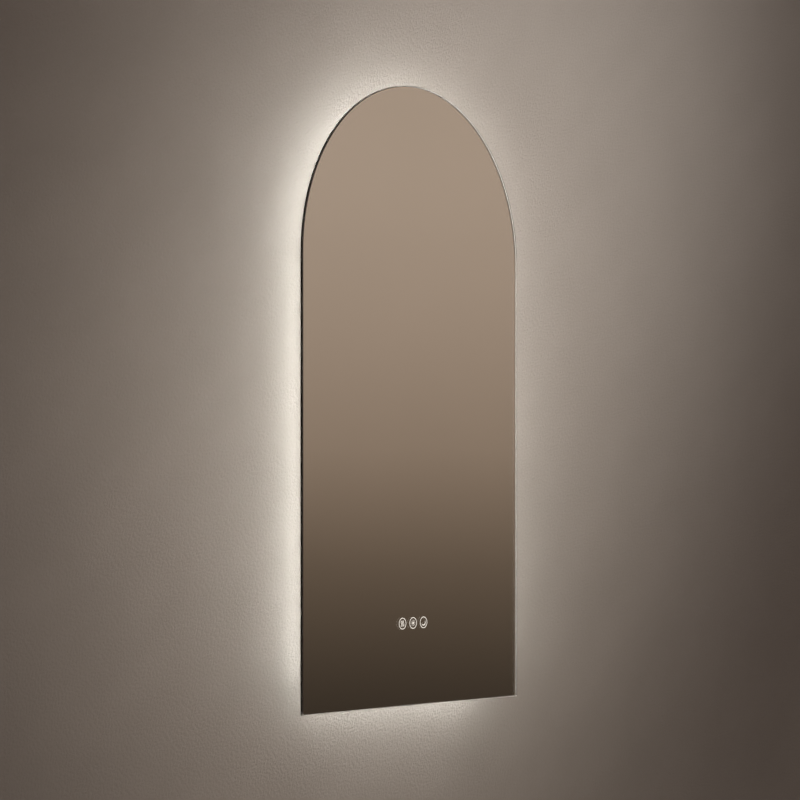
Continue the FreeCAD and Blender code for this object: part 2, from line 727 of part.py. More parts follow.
def corner_piece(label, near, far, leg, low, high, outer_pad=None):
    """A pair of L-shaped pieces in the foot corners, between two distances inside the frame's outer face."""
    body = new_body(label)
    layers = [(near, far, low, high)]
    if outer_pad:
        layers.append(outer_pad)
    for step, (outer, inner, rear, front) in enumerate(layers):
        profile = sketch_on(body, "XZ_Plane", f"{label}_outline_{step}", rear)
        x_out, x_in = f"{FRAME_HALF} - {outer}", f"{FRAME_HALF} - {inner}"
        z_out, z_in = f"{FRAME_FOOT} + {outer}", f"{FRAME_FOOT} + {inner}"
        x_end, z_end = f"{FRAME_HALF} - {leg}", f"{FRAME_FOOT} + {leg}"
        corner = [(x_out, z_end), (x_out, z_out), (x_end, z_out), (x_end, z_in), (x_in, z_in), (x_in, z_end)]
        polygon(profile, corner)
        feature = pad(body, profile, f"{label}_leg_{step}", f"({front}) - ({rear})")
        mirror_left(body, feature, f"{label}_pair_{step}")
    return body


def make_corners():
    lip_line = "(lip_length + slip)"
    rear, front = f"({CHANNEL_REAR} + slip)", f"({CHANNEL_FRONT} - slip)"
    mouth = ("0", lip_line, f"({rear} + lip_height)", f"({front} - lip_height)")
    corner_piece("corner_caps", lip_line, "(channel_depth - slip)", "cap_leg", rear, front, mouth)

    face = "(channel_depth + frame_wall)"
    inner = f"({face} + key_thickness)"
    keys = corner_piece("corner_keys", face, inner, "key_leg", f"({front} - key_width)", front)
    web_holes(keys, "upright_holes", key_screws_on_upright(), HOLE)
    foot_holes(keys, "foot_holes", key_screws_on_foot(), HOLE)

    seat = number(inner)
    grip = seat - number("channel_depth")
    half, foot, depth = number(FRAME_HALF), number(FRAME_FOOT), -number(CHANNEL_MIDDLE)
    solids = []
    for side in (-1, 1):
        for leg in KEY_SCREWS:
            reach = number(leg)
            solids.append(screw(Vector(side * (half - seat), depth, foot + reach), Vector(side, 0, 0), grip))
            solids.append(screw(Vector(side * (half - reach), depth, foot + seat), Vector(0, 0, -1), grip))
    group("key_screws", solids)


# ---------------------------------------------------------------- fasteners

def prism(sides, radius, base, height):
    """A regular prism about Z, from height base upwards."""
    turns = [2 * math.pi * k / sides for k in range(sides + 1)]
    corners = [Vector(radius * math.cos(turn), radius * math.sin(turn), base) for turn in turns]
    return Part.Face(Part.makePolygon(corners)).extrude(Vector(0, 0, height))


MERGE = 0.2  # stacked prisms reach this far into each other


def turned_pin(layers, seat, direction):
    """A fastener built of stacked prisms, each (sides, radius, from, to) along its own axis."""
    stack = [prism(sides, radius, start, end - start) for sides, radius, start, end in layers]
    solid = stack[0].multiFuse(stack[1:]).removeSplitter() if stack[1:] else stack[0]
    solid.Placement = FreeCAD.Placement(seat, FreeCAD.Rotation(Vector(0, 0, 1), direction))
    return solid


def screw(seat, direction, grip):
    """A pan-head screw: its head stands on seat, and its shank runs along direction."""
    radius, head, height = number("screw_radius"), number("screw_head"), number("head_height")
    return turned_pin([(12, head, -height, 0), (8, radius, -MERGE, grip)], seat, direction)


def into_room(x, z, depth):
    """A point given by expressions of x, z and depth."""
    return Vector(number(x), -number(depth), number(z))


def screws_into_room(label, places, seat, grip):
    """A node of screws whose heads stand on a face at depth seat."""
    length = number(grip)
    group(label, [screw(into_room(x, z, seat), TOWARDS_ROOM, length) for x, z in places])


def make_cover_screws():
    places = cover_screws_on_frame() + cover_screws_on_foot()
    screws_into_room("cover_screws", places, "wall_gap", "cover_thickness + 2 * frame_wall + screw_point")


# ---------------------------------------------------------------- back cover

BUMPER_X = f"({WEB_INNER} - bumper_inset)"
BUMPER_Z = f"({FRAME_FOOT} + bumper_rise)"
BUMPERS = [(f"{sign}{BUMPER_X}", BUMPER_Z) for sign in ("-", "")]
DRIVER_SCREWS = [(f"{sign}(driver_width / 2 - driver_screw_inset)", DRIVER_MIDDLE) for sign in ("-", "")]
LID_SCREWS = [(f"{sign}(terminal_width / 2 - lid_screw_inset)", TERMINAL_MIDDLE) for sign in ("-", "")]
HATCH_WIDTH = "(terminal_width - 2 * hatch_rim)"
HATCH_HEIGHT = "(terminal_height - 2 * service_wall - 2 * hatch_lip)"
GROMMET_X = "(-grommet_shift)"
EARTH_X = "(terminal_width / 2 + earth_shift)"
EARTH_Z = f"({TERMINAL_MIDDLE} - earth_drop)"
UPPER_VENTS = "(rail_top + hook_height + upper_vent_rise)"
LOWER_VENTS = f"({TERMINAL_MIDDLE} + lower_vent_rise)"


def rivet_places():
    """Hook rivets, evenly spread over the hook's length."""
    reach = "(hook_length / 2 - rivet_inset)"
    gap = f"(2 * {reach} / (rivet_count - 1))"
    return [(f"{step} * {gap} - {reach}", MEMBER_MIDDLE) for step in range(int(number("rivet_count")))]


def make_cover():
    body = new_body("back_cover")
    outline = sketch_on(body, "XZ_Plane", "cover_outline", "wall_gap")
    arch(outline, COVER_INSET, FOOT_SHIFT)
    rectangle(outline, "0", TERMINAL_MIDDLE, HATCH_WIDTH, HATCH_HEIGHT)
    pad(body, outline, "cover_sheet", "cover_thickness")
    small_holes(body, "rim_holes", cover_screws_on_frame() + cover_screws_on_foot(), HOLE)
    small_holes(body, "service_holes", DRIVER_SCREWS + LID_SCREWS + BUMPERS, HOLE)
    small_holes(body, "hook_holes", rivet_places(), RIVET_HOLE)
    small_holes(body, "stud_hole", [(EARTH_X, EARTH_Z)], "(stud_radius + screw_clearance)")

    vents = sketch_on(body, "XZ_Plane", "vent_outline")
    for row in range(int(number("vent_count"))):
        for base in (UPPER_VENTS, LOWER_VENTS):
            rectangle(vents, "0", f"{base} + {row} * vent_pitch", "vent_length", "vent_width")
    cut_through(body, vents, "vents")


def make_bumpers():
    """Rubber cones between the cover and the wall, each with its screw's head sunk in a well."""
    hole, floor = number(HOLE), number("bumper_floor")
    base, foot, depth = number("bumper_base"), number("bumper_foot"), number("wall_gap")
    well = number("screw_head + bumper_well")
    half_section = [
        Vector(hole, 0, 0),
        Vector(base, 0, 0),
        Vector(foot, 0, depth),
        Vector(well, 0, depth),
        Vector(well, 0, floor),
        Vector(hole, 0, floor),
        Vector(hole, 0, 0),
    ]
    solids, screws = [], []
    for x, z in BUMPERS:
        seat = into_room(x, z, "wall_gap")
        solid = Part.Face(Part.makePolygon(half_section)).revolve(Vector(), Vector(0, 0, 1), 360)
        solid = Part.makeSolid(solid.Shells[0])
        solid.Placement = FreeCAD.Placement(seat, FreeCAD.Rotation(Vector(0, 0, 1), Vector(0, 1, 0)))
        solids.append(solid)
        screws.append(screw(seat + Vector(0, floor, 0), TOWARDS_ROOM, number("bumper_screw")))
    group("wall_bumpers", solids)
    group("bumper_screws", screws)


# ---------------------------------------------------------------- rail, hook and cross member

def make_rail():
    body = new_body("wall_rail")
    profile = sketch_on(body, "YZ_Plane", "rail_section")
    lip = "(rail_reach + rail_sheet)"
    fold = "(rail_step - rail_sheet)"
    section = [
        ("0", "-rail_below"),
        ("rail_sheet", "-rail_below"),
        ("rail_sheet", fold),
        (lip, fold),
        (lip, "rail_top"),
        ("rail_reach", "rail_top"),
        ("rail_reach", "rail_step"),
        ("0", "rail_step"),
    ]
    polygon(profile, [(f"-({depth})", height) for depth, height in section])
    bar = pad(body, profile, "rail_bar", "rail_length", both_ways=True)
    bar = soften(body, bar, "outer_folds", fold_edges(bar, [section[3], section[7]]), "Fillet", "bend_radius")
    soften(body, bar, "inner_folds", fold_edges(bar, [section[2], section[6]]), "Fillet", "inner_bend")
    slots = sketch_on(body, "XZ_Plane", "slot_outline")
    for sign in ("-", ""):
        slot(slots, f"{sign}slot_spacing / 2", "0", "slot_length", "slot_radius")
    cut_through(body, slots, "screw_slots")


def make_hook():
    body = new_body("hanging_hook")
    profile = sketch_on(body, "YZ_Plane", "hook_section")
    lip = "(hook_reach + rail_sheet)"
    step = "(rail_top + rail_sheet)"
    section = [
        ("wall_gap", "rail_top"),
        ("wall_gap", "rail_top + hook_height"),
        ("wall_gap - rail_sheet", "rail_top + hook_height"),
        ("wall_gap - rail_sheet", step),
        ("hook_reach", step),
        ("hook_reach", "rail_top - hook_drop"),
        (lip, "rail_top - hook_drop"),
        (lip, "rail_top"),
    ]
    polygon(profile, [(f"-({depth})", height) for depth, height in section])
    bar = pad(body, profile, "hook_bar", "hook_length", both_ways=True)
    bar = soften(body, bar, "outer_folds", fold_edges(bar, [section[0], section[4]]), "Fillet", "bend_radius")
    soften(body, bar, "inner_folds", fold_edges(bar, [section[3], section[7]]), "Fillet", "inner_bend")
    small_holes(body, "rivet_holes", rivet_places(), RIVET_HOLE)


def make_member():
    """The channel-shaped bar that carries the hook, with a lug inside each end on the frame's flange."""
    body = new_body("cross_member")
    profile = sketch_on(body, "YZ_Plane", "member_section")
    back, high = COVER_FRONT, f"({MEMBER_LOW} + member_height)"
    front, inner = f"({back} + member_depth)", f"({back} + frame_wall)"
    section = [
        (back, MEMBER_LOW),
        (front, MEMBER_LOW),
        (front, f"{MEMBER_LOW} + frame_wall"),
        (inner, f"{MEMBER_LOW} + frame_wall"),
        (inner, f"{high} - frame_wall"),
        (front, f"{high} - frame_wall"),
        (front, high),
        (back, high),
    ]
    polygon(profile, [(f"-({depth})", height) for depth, height in section])
    span = f"({FRAME_HALF} - rear_flange - wire_slip)"
    pad(body, profile, "member_bar", f"2 * {span}", both_ways=True)
    lug = sketch_on(body, "XZ_Plane", "lug_outline", inner)
    reach = f"({WEB_INNER} - wire_slip)"
    start, height = f"({span} - member_overlap)", "(member_height - 2 * frame_wall)"
    rectangle(lug, f"({reach} + {start}) / 2", MEMBER_MIDDLE, f"({reach} - {start})", height)
    feature = pad(body, lug, "end_lug", "frame_wall")
    mirror_left(body, feature, "end_lugs")
    small_holes(body, "rivet_holes", rivet_places(), RIVET_HOLE)
    small_holes(body, "end_holes", [(f"{sign}{SCREW_LINE}", MEMBER_MIDDLE) for sign in ("-", "")], HOLE)


def make_rivets():
    """A head on the hook, a shank through hook, cover and cross member, and a set end behind them."""
    radius, head, height = number("rivet_radius"), number("rivet_head"), number("rivet_height")
    grip = number("rail_sheet + cover_thickness + frame_wall")
    set_end = 0.75 * head
    layers = [
        (12, head, -height, 0),
        (8, radius, -MERGE, grip + MERGE),
        (12, set_end, grip, grip + height),
    ]
    places = [into_room(x, z, "wall_gap - rail_sheet") for x, z in rivet_places()]
    group("hook_rivets", [turned_pin(layers, place, TOWARDS_ROOM) for place in places])


# ---------------------------------------------------------------- driver and terminal box

DRIVER_FRONT = f"({COVER_FRONT} + driver_depth)"
TERMINAL_FRONT = f"({COVER_FRONT} + terminal_depth)"
WIRE_LINE = f"({COVER_FRONT} + wire_line)"
BEYOND = 1  # a cut starts and ends this far outside the wall that it goes through


def through_wall(low, high):
    return f"({low}) - {BEYOND}", f"({high}) + {BEYOND}"


def make_driver():
    case = block(
        "driver_case", "0", DRIVER_MIDDLE, "driver_width", "driver_height", COVER_FRONT, DRIVER_FRONT,
        "corner_round",
    )

    def cavity(profile):
        inner_width = "(driver_width - 2 * service_wall)"
        rectangle(profile, "0", DRIVER_MIDDLE, inner_width, "(driver_height - 2 * service_wall)")

    floor, mouth = f"{COVER_FRONT} + service_wall", f"{DRIVER_FRONT} + {BEYOND}"
    cut_between(case, cavity, "driver_cavity", floor, mouth)

    bosses = sketch_on(case, "XZ_Plane", "boss_outline", f"{COVER_FRONT} + service_wall / 2")
    for x, z in DRIVER_SCREWS:
        small_round(bosses, x, z, "boss_radius")
    pad(case, bosses, "screw_bosses", "(driver_depth - service_wall / 2 - boss_drop)")
    blind_holes(case, "boss_holes", DRIVER_SCREWS, HOLE, COVER_FRONT, f"{COVER_FRONT} + driver_screw")

    low, high = f"{DRIVER_MIDDLE} - driver_height / 2", f"{DRIVER_MIDDLE} + driver_height / 2"
    outlets = [("driver_width / 4", f"-{WIRE_LINE}"), ("0", f"-{WIRE_LINE}")]
    foot_wall = through_wall(low, f"{low} + service_wall")
    blind_holes(case, "outlet_holes", outlets, WIRE_HOLE, *foot_wall, "XY_Plane")
    top_wall = through_wall(f"{high} - service_wall", high)
    blind_holes(case, "inlet_hole", [("0", f"-{WIRE_LINE}")], WIRE_HOLE, *top_wall, "XY_Plane")
    left_wall = through_wall("-driver_width / 2", "-driver_width / 2 + service_wall")
    strip_hole = [(f"-{WIRE_LINE}", f"{DRIVER_MIDDLE} - strip_lead_drop")]
    blind_holes(case, "strip_hole", strip_hole, WIRE_HOLE, *left_wall, "YZ_Plane")

    lid = block(
        "driver_lid", "0", DRIVER_MIDDLE, "driver_width", "driver_height", DRIVER_FRONT,
        f"{DRIVER_FRONT} + lid_thickness", "corner_round",
    )
    rib = sketch_on(lid, "XZ_Plane", "rib_outline", DRIVER_FRONT)
    for inset in ("(service_wall + slip)", "(2 * service_wall + slip)"):
        size = (f"(driver_width - 2 * {inset})", f"(driver_height - 2 * {inset})")
        rectangle(rib, "0", DRIVER_MIDDLE, *size)
    pad(lid, rib, "locating_rib", "rib_height", backwards=True)

    post_low = f"({COVER_FRONT} + service_wall)"
    board_low = f"({post_low} + board_post)"
    board = block(
        "driver_board", "0", DRIVER_MIDDLE, "(driver_width - 2 * board_inset)",
        "(driver_height - 2 * service_wall - 2 * board_gap)", board_low, f"({board_low} + board_thickness)",
    )
    post = sketch_on(board, "XZ_Plane", "post_outline", post_low)
    for sign_x in ("-", ""):
        post_x = f"{sign_x}(driver_width / 2 - board_inset - post_inset)"
        for sign_z in ("-", "+"):
            small_round(post, post_x, f"{DRIVER_MIDDLE} {sign_z} driver_height / 4", "board_post")
    pad(board, post, "board_posts", "board_post")
    make_driver_parts(number(f"{board_low} + board_thickness"))
    screws_into_room("driver_screws", DRIVER_SCREWS, "wall_gap", "driver_screw")


PLUG_INSET = 8  # wires end this far inside the driver case, at a plug 8 deep
PLUG_DEEP = 8
PLUG_WIDE = 12
PLUG_COVER = 2  # a plug's top stands this far above the middle of its wire


def make_driver_parts(floor):
    """Plugs, transformer, relay, capacitors and coil standing on the driver's board.

    Each is (x, z, width, height, tall) or (x, z, radius, tall), from the board's middle.
    """
    middle = number(DRIVER_MIDDLE)
    tall = number(WIRE_LINE) - floor + PLUG_COVER
    row = number("driver_height / 2") - PLUG_INSET - PLUG_DEEP / 2
    strip_plug_x = number("board_inset + 6 - driver_width / 2")
    boxes = [
        (0, row, PLUG_WIDE, PLUG_DEEP, tall),
        (0, -row, PLUG_WIDE, PLUG_DEEP, tall),
        (number("driver_width / 4"), -row, PLUG_WIDE, PLUG_DEEP, tall),
        (strip_plug_x, -number("strip_lead_drop"), PLUG_DEEP, PLUG_WIDE - 2, tall),
        (14, 3, 12, 14, 11),
        (-16, 4, 15, 10, 10),
    ]
    cans = [(-34, 10, 4, 11), (-25, -12, 4, 11), (36, 11, 5, 9)]
    solids = []
    for x, z, width, height, rise in boxes:
        corner = Vector(x - width / 2, -floor - rise, middle + z - height / 2)
        solids.append(Part.makeBox(width, rise, height, corner))
    for x, z, radius, rise in cans:
        solids.append(turned_pin([(12, radius, 0, rise)], Vector(x, -floor, middle + z), TOWARDS_ROOM))
    group("driver_parts", solids)


WAYS = (-1, 0, 1)  # live, neutral and earth, counted from the block's middle


def make_terminal():
    case = block(
        "terminal_case", "0", TERMINAL_MIDDLE, "terminal_width", "terminal_height", COVER_FRONT,
        TERMINAL_FRONT, "corner_round",
    )

    def cavity(profile):
        rectangle(profile, "0", TERMINAL_MIDDLE, HATCH_WIDTH, "(terminal_height - 2 * service_wall)")

    rear = f"{COVER_FRONT} - {BEYOND}"
    cut_between(case, cavity, "terminal_cavity", rear, f"{TERMINAL_FRONT} - service_wall")
    blind_holes(case, "lid_holes", LID_SCREWS, HOLE, rear, f"{COVER_FRONT} + lid_screw")
    low = f"{TERMINAL_MIDDLE} - terminal_height / 2"
    foot_wall = through_wall(low, f"{low} + service_wall")
    ways = [(f"{way} * block_pitch", f"-{WIRE_LINE}") for way in WAYS]
    blind_holes(case, "wire_holes", ways, WIRE_HOLE, *foot_wall, "XY_Plane")

    lid = block(
        "terminal_lid", "0", TERMINAL_MIDDLE, "terminal_width", f"({HATCH_HEIGHT} + 2 * hatch_margin)",
        "(wall_gap - lid_thickness)", "wall_gap", "corner_round",
    )
    small_holes(lid, "lid_screw_holes", LID_SCREWS, HOLE)
    opening = sketch_on(lid, "XZ_Plane", "grommet_opening_outline")
    circle(opening, GROMMET_X, TERMINAL_MIDDLE, "(grommet_neck + slip)")
    cut_through(lid, opening, "grommet_opening")
    screws_into_room("terminal_lid_screws", LID_SCREWS, "wall_gap - lid_thickness", "lid_screw")


def make_terminal_block():
    """A block of three ways, each with two clamp wells and a wire entry at its top."""
    rear = f"({TERMINAL_FRONT} - service_wall - block_depth)"
    body = block(
        "terminal_block", "0", TERMINAL_MIDDLE, f"({len(WAYS)} * block_pitch + 2 * block_end)",
        "block_height", rear, f"({TERMINAL_FRONT} - service_wall)",
    )
    heights = [f"{TERMINAL_MIDDLE} {sign} well_pitch / 2" for sign in ("-", "+")]
    places = [(f"{way} * block_pitch", height) for way in WAYS for height in heights]

    def wells(profile):
        for x, z in places:
            rectangle(profile, x, z, "well_side", "well_side")

    cut_between(body, wells, "clamp_wells", rear, f"{rear} + well_depth")

    def entries(profile):
        for way in WAYS:
            rectangle(profile, f"{way} * block_pitch", f"-{WIRE_LINE}", "entry_side", "entry_side")

    low = f"{TERMINAL_MIDDLE} - block_height / 2"
    cut_between(body, entries, "wire_entries", f"{low} - {BEYOND}", f"{low} + entry_depth", "XY_Plane")

    seat = f"{rear} + well_depth"
    layers = [(8, number("clamp_radius"), 0, number("clamp_height"))]
    clamps = [turned_pin(layers, into_room(x, z, seat), -TOWARDS_ROOM) for x, z in places]
    group("terminal_clamps", clamps)


def make_grommet():
    """A rubber ring in the lid's hole, with a flange each side; the supply cable passes through it."""
    body = new_body("cable_grommet")
    profile = sketch_on(body, "XY_Plane", "grommet_section", TERMINAL_MIDDLE)
    inner, neck, flange = "grommet_bore", "grommet_neck", "grommet_flange"
    rear, front = "(wall_gap - lid_thickness)", "wall_gap"
    section = [
        (inner, f"{rear} - grommet_lip"),
        (f"{flange} - 1", f"{rear} - grommet_lip"),
        (flange, rear),
        (neck, rear),
        (neck, front),
        (f"{flange} - 1", front),
        (f"{flange} - 1", f"{front} + grommet_lip"),
        (inner, f"{front} + grommet_lip"),
    ]
    polygon(profile, [(f"{GROMMET_X} + ({radius})", f"-({depth})") for radius, depth in section])
    ends = (f"-({rear})", f"-({front})")
    axis = profile.addGeometry(Part.LineSegment(*[spot(GROMMET_X, end) for end in ends]), True)
    for point, end in enumerate(ends, start=1):
        hold(profile, axis, point, GROMMET_X, end)
    ring = body.newObject("PartDesign::Revolution", "grommet_ring")
    ring.Profile = profile
    ring.ReferenceAxis = (profile, ["Axis0"])
    ring.Angle = 360


def make_earth():
    """Earth stud on the cover with its nut and ring terminal."""
    radius, head, length = number("stud_radius"), number("stud_head"), number("stud_length")
    layers = [(12, head, -number("head_height"), 0), (8, radius, -MERGE, length)]
    group("earth_stud", [turned_pin(layers, into_room(EARTH_X, EARTH_Z, "wall_gap"), TOWARDS_ROOM)])

    base = into_room(EARTH_X, EARTH_Z, COVER_FRONT)
    lug_top = number("lug_thickness")
    bore = turned_pin([(8, radius + number("slip"), -MERGE, length)], base, TOWARDS_ROOM)
    nut = turned_pin([(6, head, lug_top, lug_top + number("nut_height"))], base, TOWARDS_ROOM)
    group("earth_nut", [nut.cut(bore)])

    ring = turned_pin([(16, number("lug_radius"), 0, lug_top)], base, TOWARDS_ROOM)
    side = number("barrel_side")
    corner = base + Vector(-number("lug_reach"), -side, -side / 2)
    barrel = Part.makeBox(number("barrel_length"), side, side, corner)
    group("earth_lug", [ring.fuse(barrel).cut(bore).removeSplitter()])


# ---------------------------------------------------------------- touch panel and demister

TOUCH_REAR = f"({SILVER_BACK} - touch_depth)"
BOARD_REAR = f"({TOUCH_REAR} - board_thickness)"
PAD_REAR = f"({FILM_BACK} - pad_thickness)"
PAD_MIDDLE = f"({FOOT} + pad_rise + pad_height / 2)"
PLUG_HEIGHT = f"({ICON_HEIGHT} + touch_height / 2 - plug_inset)"
JOINT_X = "(joint_inset - pad_width / 2)"
JOINT_HEIGHT = f"({PAD_MIDDLE} - pad_height / 2 + joint_inset)"
JOINT_FRONT = f"({PAD_REAR} - trace_thickness)"


def icon_places():
    return [(f"{step} * icon_pitch", ICON_HEIGHT) for step in (-1, 0, 1)]


def make_touch_panel():
    size = ("touch_width", "touch_height")
    housing = block("touch_housing", "0", ICON_HEIGHT, *size, TOUCH_REAR, SILVER_BACK, "touch_round")
    wells = sketch_on(housing, "XZ_Plane", "well_outline")
    for x, z in icon_places():
        circle(wells, x, z, "well_radius")
    cut_through(housing, wells, "light_wells")
    block("touch_board", "0", ICON_HEIGHT, *size, BOARD_REAR, TOUCH_REAR, "touch_round")
    plug_rear = f"({BOARD_REAR} - plug_depth)"
    block("touch_connector", "0", PLUG_HEIGHT, "plug_width", "plug_height", plug_rear, BOARD_REAR)
    rings, lights = [], []
    tall = number("touch_depth")
    outer_radius, inner_radius = number("well_radius - slip"), number("well_radius - ring_wall")
    length, width, height = number("chip_length"), number("chip_width"), number("chip_height")
    shift = number("light_shift")
    for x, z in icon_places():
        base = into_room(x, z, TOUCH_REAR)
        outer = turned_pin([(16, outer_radius, 0, tall)], base, TOWARDS_ROOM)
        inner = turned_pin([(16, inner_radius, -BEYOND, tall + BEYOND)], base, TOWARDS_ROOM)
        rings.append(outer.cut(inner))
        for side in (-1, 1):
            corner = base + Vector(side * shift - length / 2, -height, -width / 2)
            lights.append(Part.makeBox(length, height, width, corner))
    group("touch_rings", rings)
    group("icon_lights", lights)


def make_demister():
    """A heating pad on the film: its conductor runs to and fro in one strip, with a moulded wire joint."""
    block("demister_pad", "0", PAD_MIDDLE, "pad_width", "pad_height", PAD_REAR, FILM_BACK, "pad_round")
    rows = int(number("trace_rows"))
    width, thick = number("trace_width"), number("trace_thickness")
    half = number("pad_width / 2 - trace_margin")
    edge = number("trace_margin + trace_width / 2")
    high = number(f"{PAD_MIDDLE} + pad_height / 2") - edge
    gap = (number("pad_height") - 2 * edge) / (rows - 1)
    rear = -number(PAD_REAR)
    strips = []
    for row in range(rows):
        z = high - row * gap
        strips.append(Part.makeBox(2 * half, thick, width, Vector(-half, rear, z - width / 2)))
        if row < rows - 1:
            x = half - width if row % 2 == 0 else -half
            strips.append(Part.makeBox(width, thick, gap, Vector(x, rear, z - gap)))
    trace = strips[0].multiFuse(strips[1:]).removeSplitter()
    group("heater_trace", trace.Solids)
    rear = f"({JOINT_FRONT} - joint_depth)"
    block(
        "pad_terminal", JOINT_X, JOINT_HEIGHT, "joint_width", "joint_height", rear, JOINT_FRONT, "joint_round"
    )


# ---------------------------------------------------------------- wires

def wire_section(centre, direction, radius):
    """A six-sided ring, which is round enough at a wire's size."""
    turns = [math.pi * k / 3 for k in range(7)]
    ring = Part.makePolygon([Vector(radius * math.cos(turn), radius * math.sin(turn), 0) for turn in turns])
    ring.Placement = FreeCAD.Placement(centre, FreeCAD.Rotation(Vector(0, 0, 1), direction))
    return Part.Wire(ring.Edges)


def wire(label, points):
    """A round wire along straight runs joined by arcs as large as the runs allow."""
    radius = number("wire_radius")
    edges, here = [], points[0]
    for before, point, after in zip(points, points[1:], points[2:]):
        arriving, leaving = point - before, after - point
        turn = arriving.getAngle(leaving)
        shorter = min(arriving.Length, leaving.Length)
        back = 0.45 * shorter
        bend = back / math.tan(turn / 2)
        arriving.normalize()
        leaving.normalize()
        start, end = point - arriving * back, point + leaving * back
        towards = (leaving - arriving).normalize()
        middle = point + towards * (bend / math.cos(turn / 2) - bend)
        edges.append(Part.LineSegment(here, start).toShape())
        edges.append(Part.Arc(start, middle, end).toShape())
        here = end
        print(f"{label}: bend radius {bend:.1f} mm")
    edges.append(Part.LineSegment(here, points[-1]).toShape())
    path = Part.Wire(edges)
    ring = wire_section(points[0], points[1] - points[0], radius)
    solid = path.makePipeShell([ring], True, False)
    expected = Part.Face(ring).Area * path.Length
    if abs(solid.Volume - expected) > 0.02 * expected:
        raise RuntimeError(f"{label}: the tube's volume is off")
    group(label, [solid])


def make_wires():
    depth = -number(WIRE_LINE)
    channel = -number(CHANNEL_MIDDLE)
    foot, half = number(FRAME_FOOT), number(FRAME_HALF)
    driver_x, driver_z = number("driver_width / 2"), number(DRIVER_MIDDLE)
    driver_half = number("driver_height / 2")
    block_low = number(f"{TERMINAL_MIDDLE} - block_height / 2")
    case_low = number(f"{TERMINAL_MIDDLE} - terminal_height / 2")
    pitch = number("block_pitch")
    lead = number(LEAD_IN)
    strip_back = number("channel_depth")
    board_top = driver_z + driver_half - PLUG_INSET
    strip_drop = number("strip_lead_drop")

    wire("mains_wire", [
        Vector(0, depth, block_low),
        Vector(0, depth, case_low - 10),
        Vector(9, clip_line() - 1, case_low - 21),
        Vector(0, depth, driver_z + driver_half + 10),
        Vector(0, depth, board_top),
    ])
    joint_x, joint_z = number(JOINT_X), number(f"{JOINT_HEIGHT} - joint_height / 2")
    joint_y = -number(f"{JOINT_FRONT} - joint_depth / 2")
    wire("demister_wire", [
        Vector(-pitch, depth, block_low),
        Vector(-pitch, depth, case_low - 9),
        Vector(-pitch - 27, depth, case_low - 19),
        Vector(joint_x + 20, depth - 8, case_low - 12),
        Vector(joint_x, joint_y, joint_z - 26),
        Vector(joint_x, joint_y, joint_z),
    ])
    earth_x, earth_z = number(f"{EARTH_X} - lug_reach"), number(EARTH_Z)
    earth_y = -number(f"{COVER_FRONT} + barrel_side / 2")
    wire("earth_wire", [
        Vector(pitch, depth, block_low),
        Vector(pitch, depth, case_low - 8),
        Vector(pitch + 20, depth + 2, case_low - 14),
        Vector(earth_x - 15, earth_y, earth_z),
        Vector(earth_x, earth_y, earth_z),
    ])
    wire("led_wire_arch", [
        Vector(-driver_x + 28, depth, driver_z - strip_drop),
        Vector(-driver_x - 18, depth, driver_z - strip_drop),
        *strip_lead_run(),
        Vector(-half + 48, channel, foot + lead),
        Vector(strip_back - half, channel, foot + lead),
    ])
    wire("led_wire_bottom", [
        Vector(driver_x / 2, depth, driver_z - driver_half + PLUG_INSET),
        Vector(driver_x / 2, depth, driver_z - driver_half - 14),
        *foot_lead_run(),
        Vector(half - lead, channel, foot + 46),
        Vector(half - lead, channel, foot + strip_back),
    ])
    board_y = -number(f"{BOARD_REAR} - plug_depth / 2")
    plug_top = number(f"{PLUG_HEIGHT} + plug_height / 2")
    wire("touch_wire", [
        Vector(0, depth, driver_z - driver_half + PLUG_INSET),
        Vector(0, depth, driver_z - driver_half - 12),
        Vector(0, board_y, plug_top + 8),
        Vector(0, board_y, plug_top),
    ])


def clip_line():
    """How far into the room the wires run where clips hold them to the cover."""
    return -number(f"{COVER_FRONT} + clip_wall + wire_radius")


def strip_lead_run():
    """The ends of the clipped run of the lead to the bent strip."""
    driver_x, driver_z = number("driver_width / 2"), number(DRIVER_MIDDLE)
    high = Vector(-driver_x - 44, clip_line(), driver_z - 26)
    low = Vector(-driver_x - 50, clip_line(), number(f"{FRAME_FOOT} + {LEAD_IN}") + 24)
    return high, low


def foot_lead_run():
    """The ends of the clipped run of the lead to the foot strip."""
    driver_x, driver_low = number("driver_width / 2"), number(f"{DRIVER_MIDDLE} - driver_height / 2")
    near = Vector(driver_x / 2 + 28, clip_line(), driver_low - 38)
    far = Vector(number(f"{FRAME_HALF} - {LEAD_IN}") - 22, clip_line(), number(FRAME_FOOT) + 72)
    return near, far


def make_clips():
    """Saddle clips bonded to the cover, each round a wire that runs close to it."""
    base, tall = number(COVER_FRONT), number("2 * (clip_wall + wire_radius)")
    length, width = number("clip_length"), number("clip_width")
    solids = []
    for start, end in (strip_lead_run(), foot_lead_run()):
        middle = (start + end) / 2
        along = (end - start).normalize()
        saddle = Part.makeBox(width, tall, length, Vector(-width / 2, -tall, -length / 2))
        angle = math.degrees(math.atan2(along.z, along.x))
        seat = Vector(middle.x, -base, middle.z)
        saddle.Placement = FreeCAD.Placement(seat, FreeCAD.Rotation(Vector(0, -1, 0), angle))
        bore = turned_pin([(8, number(WIRE_HOLE), -length, length)], middle, along)
        solids.append(saddle.cut(bore))
    group("wire_clips", solids)


# ---------------------------------------------------------------- build and export

